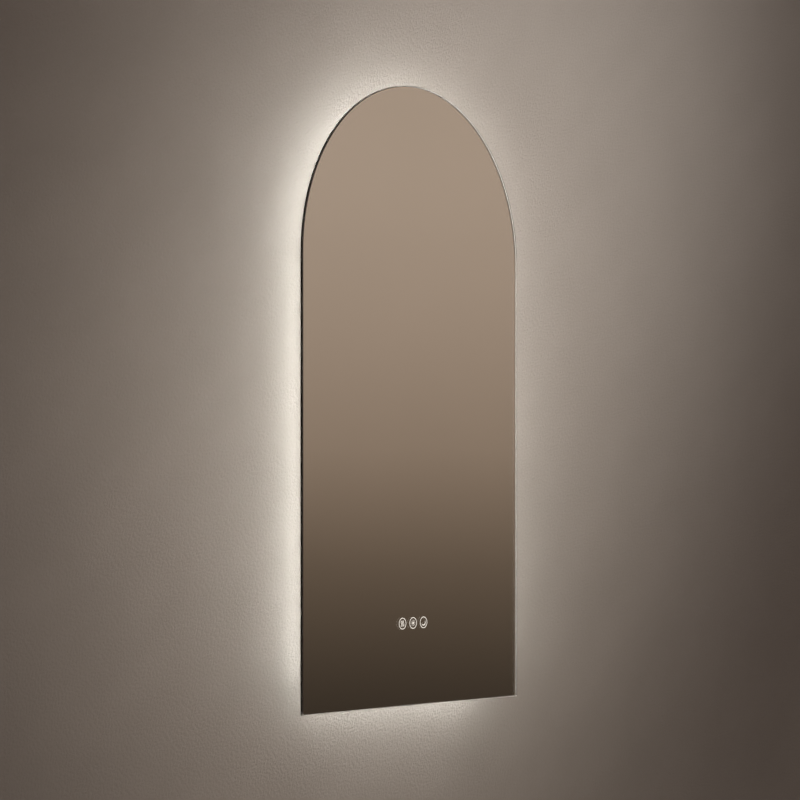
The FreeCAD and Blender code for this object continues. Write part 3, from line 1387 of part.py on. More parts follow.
def check_and_export():
    doc.recompute()
    for item in doc.Objects:
        if "Invalid" in item.State or "Error" in item.State:
            raise RuntimeError(f"{item.Label} failed to build")
    os.makedirs("parts", exist_ok=True)
    for piece in pieces:
        shape = piece.Shape
        if shape.isNull() or not shape.isValid() or not shape.Solids:
            raise RuntimeError(f"{piece.Label} has no valid solid")
    for piece in pieces:
        piece.Shape.exportStep(f"parts/{piece.Label}.step")
        print(f"{piece.Label}: {len(piece.Shape.Solids)} solid(s), {piece.Shape.Volume:.0f} mm3")


make_glass()
make_layers()
make_frame()
make_lighting()
make_corners()
make_cover()
make_cover_screws()
make_bumpers()
make_rail()
make_hook()
make_member()
make_rivets()
make_driver()
make_terminal()
make_terminal_block()
make_grommet()
make_earth()
make_touch_panel()
make_demister()
make_wires()
make_clips()
check_and_export()
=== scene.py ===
import math

import bmesh
import bpy
from mathutils import Matrix, Vector


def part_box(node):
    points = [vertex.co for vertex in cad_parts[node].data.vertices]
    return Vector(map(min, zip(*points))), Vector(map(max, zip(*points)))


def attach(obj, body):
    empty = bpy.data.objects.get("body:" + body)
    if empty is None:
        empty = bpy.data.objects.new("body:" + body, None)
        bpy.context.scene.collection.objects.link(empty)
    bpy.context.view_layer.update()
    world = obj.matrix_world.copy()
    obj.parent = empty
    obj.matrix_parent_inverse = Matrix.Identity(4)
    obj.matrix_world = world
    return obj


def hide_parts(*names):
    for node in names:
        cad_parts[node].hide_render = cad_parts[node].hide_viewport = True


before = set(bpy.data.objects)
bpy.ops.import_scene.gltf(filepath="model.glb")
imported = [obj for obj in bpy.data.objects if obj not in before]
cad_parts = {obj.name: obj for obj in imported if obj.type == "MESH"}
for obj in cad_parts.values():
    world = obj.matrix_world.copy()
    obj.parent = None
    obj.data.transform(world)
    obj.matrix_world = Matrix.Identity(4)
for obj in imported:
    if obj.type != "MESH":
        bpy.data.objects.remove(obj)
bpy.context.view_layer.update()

# Back-lit arched bathroom mirror. Metres. +X is to the right seen from the front, +Z is up,
# the mirror faces -Y and the wall is the plane Y = 0.

MM = 0.001

# ---------------------------------------------------------------- places read from the model

pane_low, pane_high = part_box("mirror_glass")
FRONT, BACK = pane_low.y, pane_high.y
FOOT = pane_low.z
HALF = pane_high.x
RISE = pane_high.z - HALF  # height of the centre of the half-round top
silver_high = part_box("silver_layer")[1]
SILVER_INSET = HALF - silver_high.x
RAIL_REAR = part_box("wall_rail")[1].y
icon_low, icon_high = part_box("touch_housing")
ICON_HEIGHT = (icon_low.z + icon_high.z) / 2

# ---------------------------------------------------------------- sizes that only the looks need

ARRIS = 0.9 * MM  # how far in the ground bevel reaches on each face of the pane
ARCH_STEPS = 128
COAT_DEPTH = 0.02 * MM  # the silvering starts this far inside the glass, so that no air shows between them
SMOOTH_UNDER = math.radians(30)

PRINT_DEPTH = 0.02 * MM
ICON_PITCH = 24.5 * MM
RING_RADIUS = 8.4 * MM
RING_LINE = 1.0 * MM
HEAT_PITCH = 2.5 * MM
HEAT_SWAY = 0.8 * MM
HEAT_WIDTH = 1.1 * MM
HEAT_LENGTH = 8.6 * MM
SUN_RADIUS = 1.8 * MM
RAY_COUNT = 8
RAY_REACH = 3.7 * MM  # from the sun's middle to a ray's middle
RAY_WIDTH = 0.9 * MM
RAY_LENGTH = 1.6 * MM
MOON_RADIUS = 4.7 * MM
MOON_THICKNESS = 1.8 * MM
MOON_MIDDLE = math.radians(-60)  # where the crescent is thickest
MOON_HALF_SPAN = math.radians(100)
MOON_TAPER = math.radians(88)  # a little under a quarter turn, so that the tips keep some thickness


# ---------------------------------------------------------------- shader helpers

def add_node(tree, kind, **settings):
    made = tree.nodes.new("ShaderNode" + kind)
    for name, value in settings.items():
        setattr(made, name, value)
    return made


def feed(tree, socket, source):
    """Sets a socket to a number, a colour or another node's output."""
    if isinstance(source, bpy.types.NodeSocket):
        tree.links.new(source, socket)
    else:
        socket.default_value = source


def compute(tree, operation, *values):
    made = add_node(tree, "Math", operation=operation)
    for socket, value in zip(made.inputs, values):
        feed(tree, socket, value)
    return made.outputs[0]


def scaled(tree, vector, share):
    """A place or a colour multiplied by a number."""
    made = add_node(tree, "VectorMath", operation="SCALE")
    feed(tree, made.inputs[0], vector)
    feed(tree, made.inputs["Scale"], share)
    return made.outputs[0]


def split_axes(tree, vector):
    split = add_node(tree, "SeparateXYZ")
    tree.links.new(vector, split.inputs[0])
    return split.outputs


def spread(tree, value, low, high, to_low=0.0, to_high=1.0):
    """Carries a value from one range to another and stops it at the ends."""
    made = add_node(tree, "MapRange")
    for name, number in (("From Min", low), ("From Max", high), ("To Min", to_low), ("To Max", to_high)):
        made.inputs[name].default_value = number
    feed(tree, made.inputs["Value"], value)
    return made.outputs["Result"]


def blend(tree, factor, first, second):
    """A colour between two colours."""
    made = add_node(tree, "Mix", data_type="RGBA")
    feed(tree, made.inputs["Factor"], factor)
    feed(tree, made.inputs[6], first)
    feed(tree, made.inputs[7], second)
    return made.outputs[2]


def noise(tree, vector, detail):
    made = add_node(tree, "TexNoise")
    made.inputs["Scale"].default_value = 1.0
    made.inputs["Detail"].default_value = detail
    feed(tree, made.inputs["Vector"], vector)
    return made.outputs["Fac"]


def rgb(red, green, blue):
    return (red, green, blue, 1.0)


def effect(name, inputs, outputs, build):
    """A node group with named inputs and outputs; build fills it."""
    tree = bpy.data.node_groups.new(name, "ShaderNodeTree")
    kinds = {"vector": "NodeSocketVector", "value": "NodeSocketFloat"}
    for label, kind in inputs:
        tree.interface.new_socket(label, in_out="INPUT", socket_type=kinds[kind])
    for label, kind in outputs:
        tree.interface.new_socket(label, in_out="OUTPUT", socket_type=kinds[kind])
    entry = tree.nodes.new("NodeGroupInput")
    leave = tree.nodes.new("NodeGroupOutput")
    for label, source in build(tree, entry.outputs).items():
        tree.links.new(source, leave.inputs[label])
    return tree


def use(tree, group, **values):
    """Places a shared effect in a material and returns its outputs."""
    made = add_node(tree, "Group", node_tree=group)
    for label, value in values.items():
        feed(tree, made.inputs[label.replace("_", " ")], value)
    return made.outputs


# ---------------------------------------------------------------- shared effects

def build_surface_pattern(tree, given):
    """Broad soft patches, as of handling and age, and the fine grain of the finish."""
    results = {}
    for label, size, detail in (("Patches", "Patch Size", 4.0), ("Grain", "Grain Size", 2.0)):
        drawn = scaled(tree, given["Vector"], compute(tree, "DIVIDE", 1.0, given[size]))
        results[label] = spread(tree, noise(tree, drawn, detail), 0.3, 0.7)
    return results


def build_weave(tree, given):
    """Two sets of crossing threads."""
    axes = split_axes(tree, given["Vector"])
    turns = compute(tree, "DIVIDE", 2 * math.pi, given["Pitch"])
    threads = []
    for axis in ("X", "Z"):
        wave = compute(tree, "SINE", compute(tree, "MULTIPLY", axes[axis], turns))
        threads.append(compute(tree, "ABSOLUTE", wave))
    return {"Threads": compute(tree, "MAXIMUM", *threads)}


def build_bent_run(tree, given):
    """Turns a place on the arched section into one across it: (reach from the arch's middle, depth, 0)."""
    axes = split_axes(tree, given["Vector"])
    above = compute(tree, "MAXIMUM", compute(tree, "SUBTRACT", axes["Z"], given["Rise"]), 0.0)
    across = compute(tree, "MULTIPLY", axes["X"], axes["X"])
    reach = compute(tree, "SQRT", compute(tree, "MULTIPLY_ADD", above, above, across))
    joined = add_node(tree, "CombineXYZ")
    tree.links.new(reach, joined.inputs["X"])
    tree.links.new(axes["Y"], joined.inputs["Y"])
    return {"Vector": joined.outputs[0]}


SURFACE_PATTERN = effect(
    "surface_pattern",
    [("Vector", "vector"), ("Patch Size", "value"), ("Grain Size", "value")],
    [("Patches", "value"), ("Grain", "value")],
    build_surface_pattern,
)
WEAVE = effect("weave", [("Vector", "vector"), ("Pitch", "value")], [("Threads", "value")], build_weave)
BENT_RUN = effect(
    "bent_run", [("Vector", "vector"), ("Rise", "value")], [("Vector", "vector")], build_bent_run,
)


# ---------------------------------------------------------------- finishes

def start_finish(name):
    """A new material, its node tree, its shader and the place on the object."""
    finish = bpy.data.materials.new(name)
    finish.use_nodes = True
    tree = finish.node_tree
    where = add_node(tree, "TexCoord").outputs["Object"]
    return finish, tree, tree.nodes["Principled BSDF"], where


def stretched(tree, where, stretch):
    """The pattern's place, drawn out where stretch is under 1."""
    mapping = add_node(tree, "Mapping")
    tree.links.new(where, mapping.inputs["Vector"])
    mapping.inputs["Scale"].default_value = stretch
    return mapping.outputs[0]


def relief(tree, shader, height, depth):
    bump = add_node(tree, "Bump")
    bump.inputs["Distance"].default_value = depth
    feed(tree, bump.inputs["Height"], height)
    tree.links.new(bump.outputs[0], shader.inputs["Normal"])


def grained(name, dark, light, gloss, patch=60 * MM, grain=0.6 * MM, depth=0.02 * MM, metallic=0.0,
            stretch=(1, 1, 1), bent=False):
    """A finish in two close colours, with roughness between the two values of gloss and a fine relief."""
    finish, tree, shader, where = start_finish(name)
    if bent:
        where = use(tree, BENT_RUN, Vector=where, Rise=RISE)["Vector"]
    drawn = stretched(tree, where, stretch)
    spots = use(tree, SURFACE_PATTERN, Vector=drawn, Patch_Size=patch, Grain_Size=grain)
    feed(tree, shader.inputs["Base Color"], blend(tree, spots["Patches"], rgb(*dark), rgb(*light)))
    fine = compute(tree, "MULTIPLY", spots["Grain"], 0.4)
    wear = compute(tree, "MULTIPLY_ADD", spots["Patches"], 0.6, fine)
    feed(tree, shader.inputs["Roughness"], spread(tree, wear, 0.0, 1.0, *gloss))
    shader.inputs["Metallic"].default_value = metallic
    relief(tree, shader, spots["Grain"], depth)
    return finish


def clear_glass(name, blur):
    finish, tree, shader, where = start_finish(name)
    spots = use(tree, SURFACE_PATTERN, Vector=where, Patch_Size=180 * MM, Grain_Size=9 * MM)
    tint = blend(tree, spots["Patches"], rgb(0.975, 0.985, 0.975), rgb(0.985, 0.992, 0.985))
    feed(tree, shader.inputs["Base Color"], tint)
    feed(tree, shader.inputs["Roughness"], spread(tree, spots["Grain"], 0.0, 1.0, *blur))
    shader.inputs["Transmission Weight"].default_value = 1.0
    shader.inputs["IOR"].default_value = 1.52
    return finish


def silvering():
    finish, tree, shader, where = start_finish("silvering")
    spots = use(tree, SURFACE_PATTERN, Vector=where, Patch_Size=240 * MM, Grain_Size=14 * MM)
    tone = blend(tree, spots["Patches"], rgb(0.93, 0.92, 0.905), rgb(0.945, 0.935, 0.92))
    feed(tree, shader.inputs["Base Color"], tone)
    feed(tree, shader.inputs["Roughness"], spread(tree, spots["Grain"], 0.0, 1.0, 0.0, 0.006))
    shader.inputs["Metallic"].default_value = 1.0
    return finish


PALEST_BODY = (0.95, 0.94, 0.92)
DIM_PATCH = 0.96


def glowing(name, body, light, strength, patch, fade=0.0):
    """A plastic or a print lit from behind. On the left it's dimmer by the share fade than on the right."""
    finish, tree, shader, where = start_finish(name)
    spots = use(tree, SURFACE_PATTERN, Vector=where, Patch_Size=patch, Grain_Size=0.5 * MM)
    feed(tree, shader.inputs["Base Color"], blend(tree, spots["Patches"], rgb(*body), rgb(*PALEST_BODY)))
    dimmer = [DIM_PATCH * part for part in light]
    lit = blend(tree, spots["Patches"], rgb(*dimmer), rgb(*light))
    share = spread(tree, split_axes(tree, where)["X"], -HALF, HALF, 1 - fade, 1.0)
    feed(tree, shader.inputs["Emission Color"], scaled(tree, lit, share))
    shader.inputs["Emission Strength"].default_value = strength
    feed(tree, shader.inputs["Roughness"], spread(tree, spots["Grain"], 0.0, 1.0, 0.35, 0.5))
    return finish


def woven_film():
    finish, tree, shader, where = start_finish("safety_film")
    threads = use(tree, WEAVE, Vector=where, Pitch=5 * MM)["Threads"]
    spots = use(tree, SURFACE_PATTERN, Vector=where, Patch_Size=50 * MM, Grain_Size=0.8 * MM)
    ground = blend(tree, spots["Patches"], rgb(0.085, 0.095, 0.102), rgb(0.105, 0.115, 0.122))
    raised = spread(tree, threads, 0.93, 0.99)
    feed(tree, shader.inputs["Base Color"], blend(tree, raised, ground, rgb(0.17, 0.185, 0.19)))
    feed(tree, shader.inputs["Roughness"], spread(tree, spots["Grain"], 0.0, 1.0, 0.4, 0.6))
    relief(tree, shader, raised, 0.05 * MM)
    return finish


def spangled_zinc():
    finish, tree, shader, where = start_finish("zinc_plated_steel")
    crystals = add_node(tree, "TexVoronoi")
    crystals.inputs["Scale"].default_value = 260.0
    tree.links.new(where, crystals.inputs["Vector"])
    shade = add_node(tree, "RGBToBW")
    tree.links.new(crystals.outputs["Color"], shade.inputs[0])
    spots = use(tree, SURFACE_PATTERN, Vector=where, Patch_Size=25 * MM, Grain_Size=0.4 * MM)
    tone = blend(tree, shade.outputs[0], rgb(0.5, 0.52, 0.55), rgb(0.7, 0.71, 0.71))
    feed(tree, shader.inputs["Base Color"], blend(tree, spots["Patches"], tone, rgb(0.66, 0.66, 0.62)))
    from_crystals = compute(tree, "MULTIPLY", shade.outputs[0], 0.5)
    dull = compute(tree, "MULTIPLY_ADD", spots["Grain"], 0.5, from_crystals)
    feed(tree, shader.inputs["Roughness"], spread(tree, dull, 0.0, 1.0, 0.26, 0.46))
    shader.inputs["Metallic"].default_value = 1.0
    relief(tree, shader, spots["Grain"], 0.01 * MM)
    return finish


def printed_board():
    finish, tree, shader, where = start_finish("printed_board")
    tracks = add_node(tree, "TexVoronoi", distance="MANHATTAN", feature="F1")
    tracks.inputs["Scale"].default_value = 220.0
    tree.links.new(where, tracks.inputs["Vector"])
    lines = spread(tree, tracks.outputs["Distance"], 0.5, 0.56)
    spots = use(tree, SURFACE_PATTERN, Vector=where, Patch_Size=20 * MM, Grain_Size=0.3 * MM)
    mask = blend(tree, spots["Patches"], rgb(0.02, 0.13, 0.06), rgb(0.03, 0.17, 0.08))
    feed(tree, shader.inputs["Base Color"], blend(tree, lines, mask, rgb(0.06, 0.27, 0.13)))
    feed(tree, shader.inputs["Roughness"], spread(tree, spots["Grain"], 0.0, 1.0, 0.25, 0.4))
    relief(tree, shader, lines, 0.03 * MM)
    return finish


def banded(name, first, second, length):
    """Wire insulation in two colours that wind round each other."""
    finish, tree, shader, where = start_finish(name)
    axes = split_axes(tree, where)
    along = compute(tree, "ADD", axes["X"], axes["Z"])
    wave = compute(tree, "SINE", compute(tree, "MULTIPLY", along, 2 * math.pi / length))
    spots = use(tree, SURFACE_PATTERN, Vector=where, Patch_Size=20 * MM, Grain_Size=0.4 * MM)
    side = spread(tree, wave, -0.1, 0.1)
    feed(tree, shader.inputs["Base Color"], blend(tree, side, rgb(*first), rgb(*second)))
    feed(tree, shader.inputs["Roughness"], spread(tree, spots["Grain"], 0.0, 1.0, 0.35, 0.5))
    relief(tree, shader, spots["Grain"], 0.01 * MM)
    return finish


LINES_ALONG_X = (0.01, 1, 1)
OPAL_LIGHT = (1.0, 0.992, 0.962)
OPAL_STRENGTH = 34.8
OPAL_FADE = 0.26
PRINT_LIGHT = (1.0, 0.93, 0.84)

FINISHES = {
    "glass": clear_glass("float_glass", (0.0, 0.004)),
    "arris": clear_glass("ground_arris", (0.6, 0.7)),
    "silver": silvering(),
    "film": woven_film(),
    "zinc": spangled_zinc(),
    "board": printed_board(),
    "opal": glowing("opal_diffuser", (0.93, 0.92, 0.9), OPAL_LIGHT, OPAL_STRENGTH, 30 * MM, OPAL_FADE),
    "print": glowing("lit_print", (0.9, 0.89, 0.87), PRINT_LIGHT, 1.0, 3 * MM),
    "tape": grained("foam_tape", (0.02, 0.02, 0.022), (0.05, 0.05, 0.05), (0.75, 0.95), grain=0.4 * MM),
    "bent aluminium": grained(
        "bent_aluminium", (0.68, 0.69, 0.7), (0.78, 0.79, 0.8), (0.24, 0.42), patch=4 * MM, grain=0.25 * MM,
        depth=0.01 * MM, metallic=1.0, bent=True,
    ),
    "straight aluminium": grained(
        "straight_aluminium", (0.68, 0.69, 0.7), (0.78, 0.79, 0.8), (0.24, 0.42), patch=4 * MM,
        grain=0.25 * MM, depth=0.01 * MM, metallic=1.0, stretch=LINES_ALONG_X,
    ),
    "rivet": grained("bright_rivet", (0.74, 0.74, 0.74), (0.84, 0.84, 0.84), (0.18, 0.32), metallic=1.0),
    "coated sheet": grained(
        "powder_coat", (0.7, 0.7, 0.68), (0.76, 0.76, 0.74), (0.38, 0.55), patch=120 * MM, grain=1.4 * MM,
        depth=0.06 * MM,
    ),
    "strip": grained("white_strip", (0.8, 0.8, 0.78), (0.88, 0.88, 0.86), (0.3, 0.45), patch=16 * MM),
    "chip": grained("phosphor_chip", (0.85, 0.62, 0.12), (0.93, 0.76, 0.3), (0.3, 0.5), patch=2 * MM),
    "rubber": grained(
        "black_rubber", (0.018, 0.018, 0.018), (0.045, 0.045, 0.045), (0.6, 0.85), depth=0.03 * MM,
    ),
    "white plastic": grained("white_plastic", (0.76, 0.76, 0.74), (0.83, 0.83, 0.81), (0.4, 0.55)),
    "black plastic": grained("black_plastic", (0.02, 0.02, 0.02), (0.04, 0.04, 0.04), (0.35, 0.55)),
    "polyamide": grained("polyamide", (0.62, 0.61, 0.54), (0.7, 0.69, 0.62), (0.4, 0.55)),
    "component": grained(
        "component_bodies", (0.02, 0.02, 0.025), (0.05, 0.05, 0.055), (0.3, 0.5), patch=9 * MM,
    ),
    "brass": grained(
        "brass", (0.62, 0.45, 0.18), (0.74, 0.57, 0.28), (0.22, 0.38), patch=4 * MM, metallic=1.0,
    ),
    "copper": grained("copper_foil", (0.55, 0.27, 0.15), (0.72, 0.42, 0.27), (0.25, 0.45), metallic=1.0),
    "pad": grained(
        "amber_film", (0.36, 0.2, 0.06), (0.46, 0.28, 0.1), (0.15, 0.3), patch=40 * MM, grain=6 * MM,
    ),
    "white wire": grained("white_insulation", (0.74, 0.74, 0.72), (0.82, 0.82, 0.8), (0.35, 0.5)),
    "earth wire": banded("earth_insulation", (0.1, 0.32, 0.03), (0.62, 0.55, 0.03), 11 * MM),
    "twin wire": banded("twin_insulation", (0.42, 0.02, 0.015), (0.015, 0.015, 0.015), 7 * MM),
}

NODES_BY_FINISH = {
    "film": ["safety_film"],
    "tape": ["bonding_tape"],
    "bent aluminium": ["frame_arch"],
    "straight aluminium": ["frame_bottom", "cross_member"],
    "zinc": [
        "wall_rail", "hanging_hook", "corner_keys", "key_screws", "cover_screws", "bumper_screws",
        "driver_screws", "terminal_lid_screws", "earth_stud", "earth_nut",
    ],
    "rivet": ["hook_rivets"],
    "coated sheet": ["back_cover"],
    "opal": ["diffuser_arch", "diffuser_bottom", "corner_caps"],
    "strip": ["led_strip_arch", "led_strip_bottom"],
    "chip": ["led_chips_arch", "led_chips_bottom", "icon_lights"],
    "rubber": ["wall_bumpers", "cable_grommet"],
    "white plastic": ["driver_case", "driver_lid", "terminal_case", "terminal_lid"],
    "black plastic": ["touch_housing", "pad_terminal", "wire_clips"],
    "polyamide": ["terminal_block", "touch_connector"],
    "component": ["driver_parts"],
    "board": ["driver_board", "touch_board"],
    "brass": ["terminal_clamps", "earth_lug"],
    "copper": ["touch_rings", "heater_trace"],
    "pad": ["demister_pad"],
    "white wire": ["mains_wire", "demister_wire"],
    "earth wire": ["earth_wire"],
    "twin wire": ["led_wire_arch", "led_wire_bottom", "touch_wire"],
}


def dress_nodes():
    """Gives every node of the model its finish."""
    for finish, names in NODES_BY_FINISH.items():
        for name in names:
            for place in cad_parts[name].material_slots:
                place.material = FINISHES[finish]


# ---------------------------------------------------------------- new pieces

def finished_piece(name, work, *finishes):
    """Makes an object of a bmesh, rides it on the mirror and gives it its finishes."""
    bmesh.ops.recalc_face_normals(work, faces=work.faces[:])
    mesh = bpy.data.meshes.new(name)
    for face in work.faces:
        face.smooth = True
    work.to_mesh(mesh)
    work.free()
    mesh.set_sharp_from_angle(angle=SMOOTH_UNDER)
    piece = bpy.data.objects.new(name, mesh)
    bpy.context.scene.collection.objects.link(piece)
    for finish in finishes:
        mesh.materials.append(FINISHES[finish])
    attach(piece, "mirror")
    return piece


def arch_slab(inset, near, far):
    """The mirror's outline, moved inwards, as a slab between two depths."""
    half, low = HALF - inset, FOOT + inset
    work = bmesh.new()
    right = work.verts.new((half, near, RISE))
    bend = bmesh.ops.spin(
        work, geom=[right], cent=(0, near, RISE), axis=(0, -1, 0), angle=math.pi, steps=ARCH_STEPS,
    )
    left = next(item for item in bend["geom_last"] if isinstance(item, bmesh.types.BMVert))
    right_foot = work.verts.new((half, near, low))
    left_foot = work.verts.new((-half, near, low))
    for start, end in ((right, right_foot), (right_foot, left_foot), (left_foot, left)):
        work.edges.new((start, end))
    outline = bmesh.ops.contextual_create(work, geom=work.edges[:])
    grown = bmesh.ops.extrude_face_region(work, geom=outline["faces"])
    moved = [item for item in grown["geom"] if isinstance(item, bmesh.types.BMVert)]
    bmesh.ops.translate(work, verts=moved, vec=(0, far - near, 0))
    return work


def make_pane():
    """The glass, with a ground bevel round both of its faces."""
    work = arch_slab(0, FRONT, BACK)
    rims = [edge for edge in work.edges if abs(edge.verts[0].co.y - edge.verts[1].co.y) < (BACK - FRONT) / 2]
    bmesh.ops.bevel(
        work, geom=rims, offset=ARRIS, offset_type="OFFSET", segments=1, profile=0.5, affect="EDGES",
        material=-1,
    )
    for face in work.faces:
        face.normal_update()
        is_bevel = 0.5 < abs(face.normal.y) < 0.9
        face.material_index = int(is_bevel)
    pane = finished_piece("mirror_pane", work, "glass", "arris")
    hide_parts("mirror_glass")


def make_silver():
    work = arch_slab(SILVER_INSET, BACK - COAT_DEPTH, silver_high.y)
    coat = finished_piece("silver_coat", work, "silver")
    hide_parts("silver_layer")


def thicken_print(work):
    """Gives a flat print, drawn in its own X and Y, its thickness."""
    grown = bmesh.ops.extrude_face_region(work, geom=work.faces[:])
    moved = [item for item in grown["geom"] if isinstance(item, bmesh.types.BMVert)]
    bmesh.ops.translate(work, verts=moved, vec=(0, 0, PRINT_DEPTH))


def add_ring(work):
    """The thin circle round an icon."""
    ring = bmesh.ops.create_circle(work, segments=64, radius=RING_RADIUS - RING_LINE)
    edges = {edge for vert in ring["verts"] for edge in vert.link_edges}
    grown = bmesh.ops.extrude_edge_only(work, edges=list(edges))
    outer = [item for item in grown["geom"] if isinstance(item, bmesh.types.BMVert)]
    share = RING_RADIUS / (RING_RADIUS - RING_LINE)
    bmesh.ops.scale(work, vec=(share, share, 1), verts=outer)


def add_bar(work, width, length, rows, place):
    """A strip of faces along Y, bent by place(x, y)."""
    bar = bmesh.ops.create_grid(work, x_segments=1, y_segments=rows, size=0.5)
    for vert in bar["verts"]:
        vert.co.x, vert.co.y = place(vert.co.x * width, vert.co.y * length)


def draw_heat(work):
    """Three wavy lines."""
    for step in (-1, 0, 1):
        def wavy(x, y, step=step):
            return x + step * HEAT_PITCH - HEAT_SWAY * math.sin(y / HEAT_LENGTH * 2 * math.pi), y

        add_bar(work, HEAT_WIDTH, HEAT_LENGTH, 20, wavy)


def draw_sun(work):
    """A disc with rays."""
    bmesh.ops.create_circle(work, cap_ends=True, segments=32, radius=SUN_RADIUS)
    for step in range(RAY_COUNT):
        turn = Matrix.Rotation(step * 2 * math.pi / RAY_COUNT, 2)

        def ray(x, y, turn=turn):
            return turn @ Vector((x, y + RAY_REACH))

        add_bar(work, RAY_WIDTH, RAY_LENGTH, 1, ray)


def draw_moon(work):
    """A crescent, thickest low on the right."""
    def crescent(x, y):
        angle = MOON_MIDDLE + y * MOON_HALF_SPAN
        thickness = MOON_THICKNESS * math.cos(y * MOON_TAPER)
        reach = MOON_RADIUS - (0.5 - x) * thickness
        return reach * math.cos(angle), reach * math.sin(angle)

    add_bar(work, 1.0, 2.0, 28, crescent)


def make_prints():
    """The three lit touch icons, in front of the silvering."""
    for step, icon, draw in ((-1, "heat", draw_heat), (0, "sun", draw_sun), (1, "moon", draw_moon)):
        work = bmesh.new()
        add_ring(work)
        draw(work)
        thicken_print(work)
        stand = Matrix.Translation((step * ICON_PITCH, BACK - COAT_DEPTH, ICON_HEIGHT))
        stand = stand @ Matrix.Rotation(math.pi / 2, 4, "X")
        bmesh.ops.transform(work, matrix=stand, verts=work.verts[:])
        piece = finished_piece("touch_print_" + icon, work, "print")


# ---------------------------------------------------------------- screws and rivets

HEAD_HEIGHT = 1.6 * MM
SHANK = 1.45 * MM
THREAD_PITCH = 0.9 * MM
THREAD_DEPTH = 0.25 * MM
RIVET_HEIGHT = 1.2 * MM
RIVET_SHANK = 1.6 * MM
PIN_SIDES = 24
HEAD_TURN = 0.7  # radians from one screw's recess to the next one's

# heads from the top down: (share of the radius, share of the height)
PAN_HEAD = [(0.62, 1.0), (0.8, 0.94), (0.93, 0.76), (1.0, 0.45), (1.0, 0.0)]
RIVET_DOME = [(0.22, 0.55), (0.26, 0.95), (0.45, 1.0), (0.75, 0.85), (0.95, 0.5), (1.0, 0.2), (1.0, 0.0)]

# the recess for a screwdriver, in shares of the head's radius and height
RECESS_ARM = 0.5
RECESS_WIDTH = 0.17
RECESS_DEPTH = 0.65
RECESS_TAPER = 0.55


def loose_parts(node):
    """The lowest and highest corners of each separate solid of a node."""
    work = bmesh.new()
    work.from_mesh(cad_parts[node].data)
    bmesh.ops.remove_doubles(work, verts=work.verts[:], dist=0.001 * MM)
    left = set(work.verts)
    boxes = []
    while left:
        reached = [left.pop()]
        for vert in reached:
            for edge in vert.link_edges:
                other = edge.other_vert(vert)
                if other in left:
                    left.remove(other)
                    reached.append(other)
        spans = [sorted(vert.co[axis] for vert in reached) for axis in range(3)]
        boxes.append((Vector(span[0] for span in spans), Vector(span[-1] for span in spans)))
    work.free()
    return sorted(boxes, key=lambda corners: corners[0][:])


def carry_rim(work, edges, rings):
    """Carries a round rim about Z on through rings of (radius, height), the first being the rim itself."""
    for (radius, height), (wider, higher) in zip(rings, rings[1:]):
        grown = bmesh.ops.extrude_edge_only(work, edges=edges)["geom"]
        verts = [item for item in grown if isinstance(item, bmesh.types.BMVert)]
        edges = [item for item in grown if isinstance(item, bmesh.types.BMEdge)]
        bmesh.ops.scale(work, vec=(wider / radius, wider / radius, 1), verts=verts)
        bmesh.ops.translate(work, vec=(0, 0, higher - height), verts=verts)
    return edges


def round_pin(rings):
    """A closed pin about Z: a flat disc at the first ring, then the rest of its rings, then a flat end."""
    work = bmesh.new()
    radius, height = rings[0]
    disc = bmesh.ops.create_circle(work, cap_ends=True, segments=PIN_SIDES, radius=radius)
    bmesh.ops.translate(work, vec=(0, 0, height), verts=disc["verts"])
    rim = carry_rim(work, work.edges[:], rings)
    bmesh.ops.contextual_create(work, geom=rim)
    return work


def sink_cross(work, height, arm, width, depth):
    """Sinks a tapered cross for a screwdriver into the flat disc at a height."""
    def is_top(face):
        return all(abs(vert.co.z - height) < 0.01 * MM for vert in face.verts)

    def in_cross(face):
        across, along = sorted(abs(part) for part in face.calc_center_median()[:2])
        return is_top(face) and across < width / 2 and along < arm

    for axis in ((1, 0, 0), (0, 1, 0)):
        for offset in (-arm, -width / 2, width / 2, arm):
            top = [face for face in work.faces if is_top(face)]
            rim = {item for face in top for item in (*face.verts, *face.edges)}
            bmesh.ops.bisect_plane(work, geom=[*top, *rim], plane_co=Vector(axis) * offset, plane_no=axis)
    cross = [face for face in work.faces if in_cross(face)]
    sunk = bmesh.ops.extrude_face_region(work, geom=cross)["geom"]
    floor = [item for item in sunk if isinstance(item, bmesh.types.BMVert)]
    bmesh.ops.scale(work, vec=(RECESS_TAPER, RECESS_TAPER, 1), verts=floor)
    bmesh.ops.translate(work, vec=(0, 0, -depth), verts=floor)
    bmesh.ops.delete(work, geom=[face for face in cross if face.is_valid], context="FACES")


def pan_head_screw(head, grip):
    """A screw along Z with its head from 0 up and its threaded shank down to -grip."""
    rings = [(head * share, HEAD_HEIGHT * rise) for share, rise in PAN_HEAD]
    rings.append((SHANK, 0))
    turns = int((grip - THREAD_PITCH) / THREAD_PITCH)
    for turn in range(turns):
        rings.append((SHANK - THREAD_DEPTH, -(turn + 0.5) * THREAD_PITCH))
        rings.append((SHANK, -(turn + 1) * THREAD_PITCH))
    rings.append((SHANK / 3, -grip))
    work = round_pin(rings)
    sink_cross(work, HEAD_HEIGHT, head * RECESS_ARM, head * RECESS_WIDTH, HEAD_HEIGHT * RECESS_DEPTH)
    return work


def blind_rivet(head, grip):
    """A domed rivet along Z with the stub of its pulled pin showing."""
    rings = [(head * share, RIVET_HEIGHT * rise) for share, rise in RIVET_DOME]
    return round_pin([*rings, (RIVET_SHANK, 0), (RIVET_SHANK, -grip)])


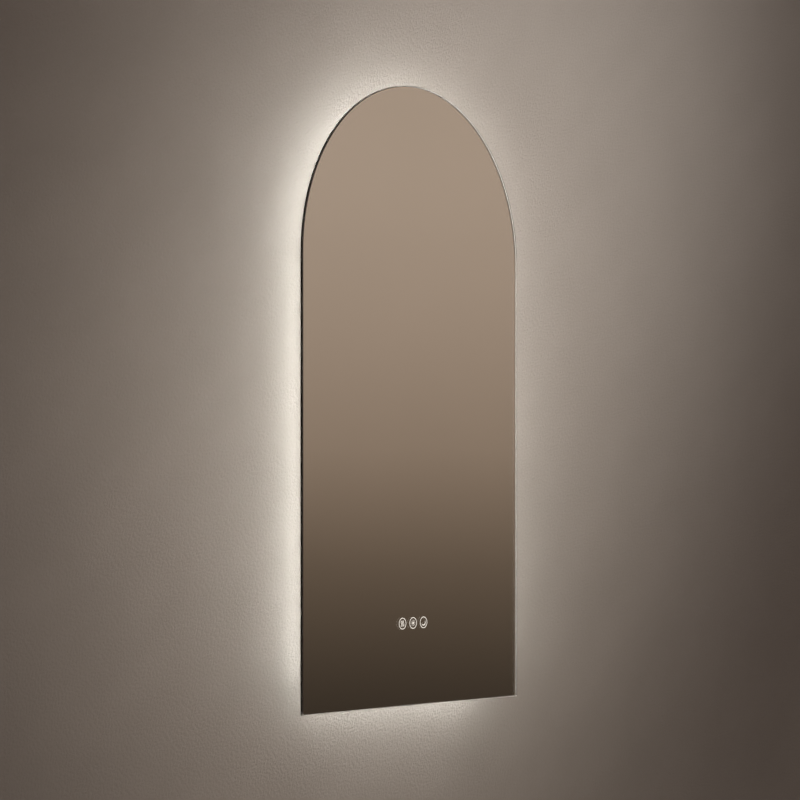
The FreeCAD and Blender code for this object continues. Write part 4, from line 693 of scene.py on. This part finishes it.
def make_fasteners():
    """Detailed screws and rivets in place of the plain ones, each with its head towards the wall."""
    screws = ("cover_screws", "driver_screws", "terminal_lid_screws", "bumper_screws")
    kinds = [(node, pan_head_screw, HEAD_HEIGHT, "zinc", "zinc_steel") for node in screws]
    kinds.append(("hook_rivets", blind_rivet, RIVET_HEIGHT, "rivet", "rivet_aluminium"))
    for node, build, height, finish, slot in kinds:
        joined = bpy.data.meshes.new(node + "_joined")
        gathered = bmesh.new()
        for step, (low, high) in enumerate(loose_parts(node)):
            middle = (low + high) / 2
            seat = high.y - height
            work = build((high.x - low.x) / 2, seat - low.y)
            stand = Matrix.Translation((middle.x, seat, middle.z))
            stand = stand @ Matrix.Rotation(-math.pi / 2, 4, "X") @ Matrix.Rotation(step * HEAD_TURN, 4, "Z")
            bmesh.ops.transform(work, matrix=stand, verts=work.verts[:])
            work.to_mesh(joined)
            work.free()
            gathered.from_mesh(joined)
        bpy.data.meshes.remove(joined)
        piece = finished_piece("detailed_" + node, gathered, finish)
        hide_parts(node)


# ---------------------------------------------------------------- backdrop, light and camera

FLOOR_DEPTH = 1.0
WALL_HALF = 1.4
FLOOR_SIDE = 16.0
WALL_TOP = 2.2
WALL_GAP = 0.3 * MM
PLASTER_SLANT = math.radians(50)  # the trowel's marks run this way
PLASTER_DRAW = 1.8  # and are this much longer than wide


def staged_plane(name, middle, width, height, turn):
    """A flat sheet for the backdrop."""
    mesh = bpy.data.meshes.new(name)
    work = bmesh.new()
    bmesh.ops.create_grid(work, x_segments=1, y_segments=1, size=0.5)
    bmesh.ops.scale(work, vec=(width, height, 1), verts=work.verts[:])
    bmesh.ops.transform(work, matrix=Matrix.Translation(middle) @ turn, verts=work.verts[:])
    work.to_mesh(mesh)
    work.free()
    sheet = bpy.data.objects.new(name, mesh)
    bpy.context.scene.collection.objects.link(sheet)
    return sheet


def plaster():
    """The matt wall. It's clear from behind, so that the mirror's back shows."""
    finish, tree, shader, where = start_finish("plaster")
    slanting = add_node(tree, "Mapping", vector_type="TEXTURE")
    tree.links.new(where, slanting.inputs["Vector"])
    slanting.inputs["Rotation"].default_value = (0, PLASTER_SLANT, 0)
    slanting.inputs["Scale"].default_value = (1, 1, PLASTER_DRAW)
    spots = use(tree, SURFACE_PATTERN, Vector=slanting.outputs[0], Patch_Size=90 * MM, Grain_Size=2.8 * MM)
    tone = blend(tree, spots["Patches"], rgb(0.25, 0.236, 0.215), rgb(0.265, 0.25, 0.228))
    feed(tree, shader.inputs["Base Color"], tone)
    feed(tree, shader.inputs["Roughness"], spread(tree, spots["Grain"], 0.0, 1.0, 0.8, 0.95))
    relief(tree, shader, spots["Grain"], 0.48 * MM)
    see_through = add_node(tree, "BsdfTransparent")
    side = add_node(tree, "NewGeometry").outputs["Backfacing"]
    mix = add_node(tree, "MixShader")
    feed(tree, mix.inputs[0], side)
    tree.links.new(shader.outputs[0], mix.inputs[1])
    tree.links.new(see_through.outputs[0], mix.inputs[2])
    tree.links.new(mix.outputs[0], tree.nodes["Material Output"].inputs["Surface"])
    return finish


def pale_floor():
    """A plain floor, lifted a little where the camera sees it."""
    finish = grained(
        "floor", (0.6, 0.57, 0.53), (0.64, 0.61, 0.57), (0.6, 0.8), patch=300 * MM, grain=2 * MM,
    )
    tree = finish.node_tree
    shader = tree.nodes["Principled BSDF"]
    shader.inputs["Emission Color"].default_value = rgb(0.24, 0.235, 0.225)
    feed(tree, shader.inputs["Emission Strength"], add_node(tree, "LightPath").outputs["Is Camera Ray"])
    return finish


def make_backdrop():
    upright = Matrix.Rotation(math.pi / 2, 4, "X")
    middle = (0, RAIL_REAR + WALL_GAP, (WALL_TOP - FLOOR_DEPTH) / 2)
    wall = staged_plane("backdrop_wall", middle, 2 * WALL_HALF, WALL_TOP + FLOOR_DEPTH, upright)
    wall.data.materials.append(plaster())
    wall.visible_shadow = False
    floor = staged_plane("floor", (0, 0, -FLOOR_DEPTH), FLOOR_SIDE, FLOOR_SIDE, Matrix.Identity(4))
    floor.data.materials.append(pale_floor())
    floor.visible_glossy = floor.visible_transmission = False
    return wall, floor


ROOM_LAMP_SIZE = 0.8
ROOM_LAMP_DISTANCE = 2.2
REAR_LAMP_SIZE = 2.0
REAR_AIM = (0, 0, -0.15)
REAR_LIGHT = (1.0, 0.97, 0.94)


def make_lamp(name, place, aim, size, watts, colour, spread_angle=180, surfaces=None):
    """A round soft lamp. One that lights only some surfaces throws no shadows and shows in no glass."""
    data = bpy.data.lights.new(name, "AREA")
    data.spread = math.radians(spread_angle)
    data.use_shadow = not surfaces
    data.shape = "DISK"
    data.size = size
    data.energy = watts
    data.color = colour
    lamp = bpy.data.objects.new(name, data)
    lamp.location = place
    lamp.rotation_euler = (Vector(aim) - Vector(place)).to_track_quat("-Z", "Y").to_euler()
    lamp.visible_glossy = lamp.visible_transmission = not surfaces
    lamp.light_linking.receiver_collection = surfaces
    bpy.context.scene.collection.objects.link(lamp)


def make_lights(wall, floor):
    """Two soft pools of light on the wall, and two lamps for the mirror's back."""
    room = bpy.data.collections.new("room_surfaces")
    room.objects.link(wall)
    room.objects.link(floor)
    pools = (
        ("lamp_upper", 0.375, 0.42, 3.1, (1.0, 0.925, 0.88), 45),
        ("lamp_lower", -0.06, -0.2, 3.1, (1.0, 0.88, 0.79), 47),
    )
    for name, across, up, watts, colour, angle in pools:
        place, aim = (across, -ROOM_LAMP_DISTANCE, up), (across, 0, up)
        make_lamp(name, place, aim, ROOM_LAMP_SIZE, watts, colour, angle, room)
    make_lamp("lamp_behind_left", (-1.8, 2.8, 1.6), REAR_AIM, REAR_LAMP_SIZE, 65.0, REAR_LIGHT)
    make_lamp("lamp_behind_right", (2.0, 2.4, 0.4), REAR_AIM, REAR_LAMP_SIZE, 38.0, REAR_LIGHT)


# (degrees above the horizon, colour) of what the mirror shows of the room
ROOM_TONES = [
    (-4.6, (0.024, 0.018, 0.013)),
    (-1.9, (0.112, 0.08, 0.055)),
    (0.2, (0.262, 0.193, 0.142)),
    (3.8, (0.398, 0.307, 0.238)),
]
ROOM_REACH = 6.0  # degrees either side of the horizon over which the tones change
BACKDROP_TONE = (0.5, 0.47, 0.44)
FILL_TONE = (0.205, 0.159, 0.146)


def make_room():
    """The room that the mirror shows, darker towards the floor, and a plain pale background elsewhere."""
    world = bpy.data.worlds.new("room")
    bpy.context.scene.world = world
    world.use_nodes = True
    tree = world.node_tree
    height = split_axes(tree, add_node(tree, "TexCoord").outputs["Generated"])["Z"]
    reach = math.sin(math.radians(ROOM_REACH))
    ramp = add_node(tree, "ValToRGB")
    ramp.color_ramp.interpolation = "B_SPLINE"
    stops = ramp.color_ramp.elements
    while len(stops) < len(ROOM_TONES):
        stops.new(0.5)
    for stop, (degrees, tone) in zip(stops, ROOM_TONES):
        stop.position = 0.5 + 0.5 * math.sin(math.radians(degrees)) / reach
        stop.color = rgb(*tone)
    feed(tree, ramp.inputs[0], spread(tree, height, -reach, reach))
    rays = add_node(tree, "LightPath").outputs
    mirrored = compute(tree, "MAXIMUM", rays["Is Glossy Ray"], rays["Is Transmission Ray"])
    seen = blend(tree, rays["Is Camera Ray"], rgb(*FILL_TONE), rgb(*BACKDROP_TONE))
    feed(tree, tree.nodes["Background"].inputs["Color"], blend(tree, mirrored, seen, ramp.outputs[0]))


EYE = (-3.7608, -3.0297, -0.2322)
YAW = math.radians(51.2855)  # to the right of straight on
LENS = 148.71  # millimetres, as the sensor is
SENSOR = 36.0
VIEW_SHIFT = 0.07426  # the photograph's horizon lies below its middle


def make_camera():
    data = bpy.data.cameras.new("camera")
    data.lens = LENS
    data.sensor_width = SENSOR
    data.shift_y = VIEW_SHIFT
    data.clip_start = 0.1
    data.clip_end = 50.0
    camera = bpy.data.objects.new("camera", data)
    camera.location = EYE
    camera.rotation_euler = (math.pi / 2, 0, -YAW)
    bpy.context.scene.collection.objects.link(camera)
    bpy.context.scene.camera = camera


dress_nodes()
make_pane()
make_silver()
make_prints()
make_fasteners()
make_lights(*make_backdrop())
make_room()
make_camera()
bpy.context.scene.view_settings.view_transform = "Standard"
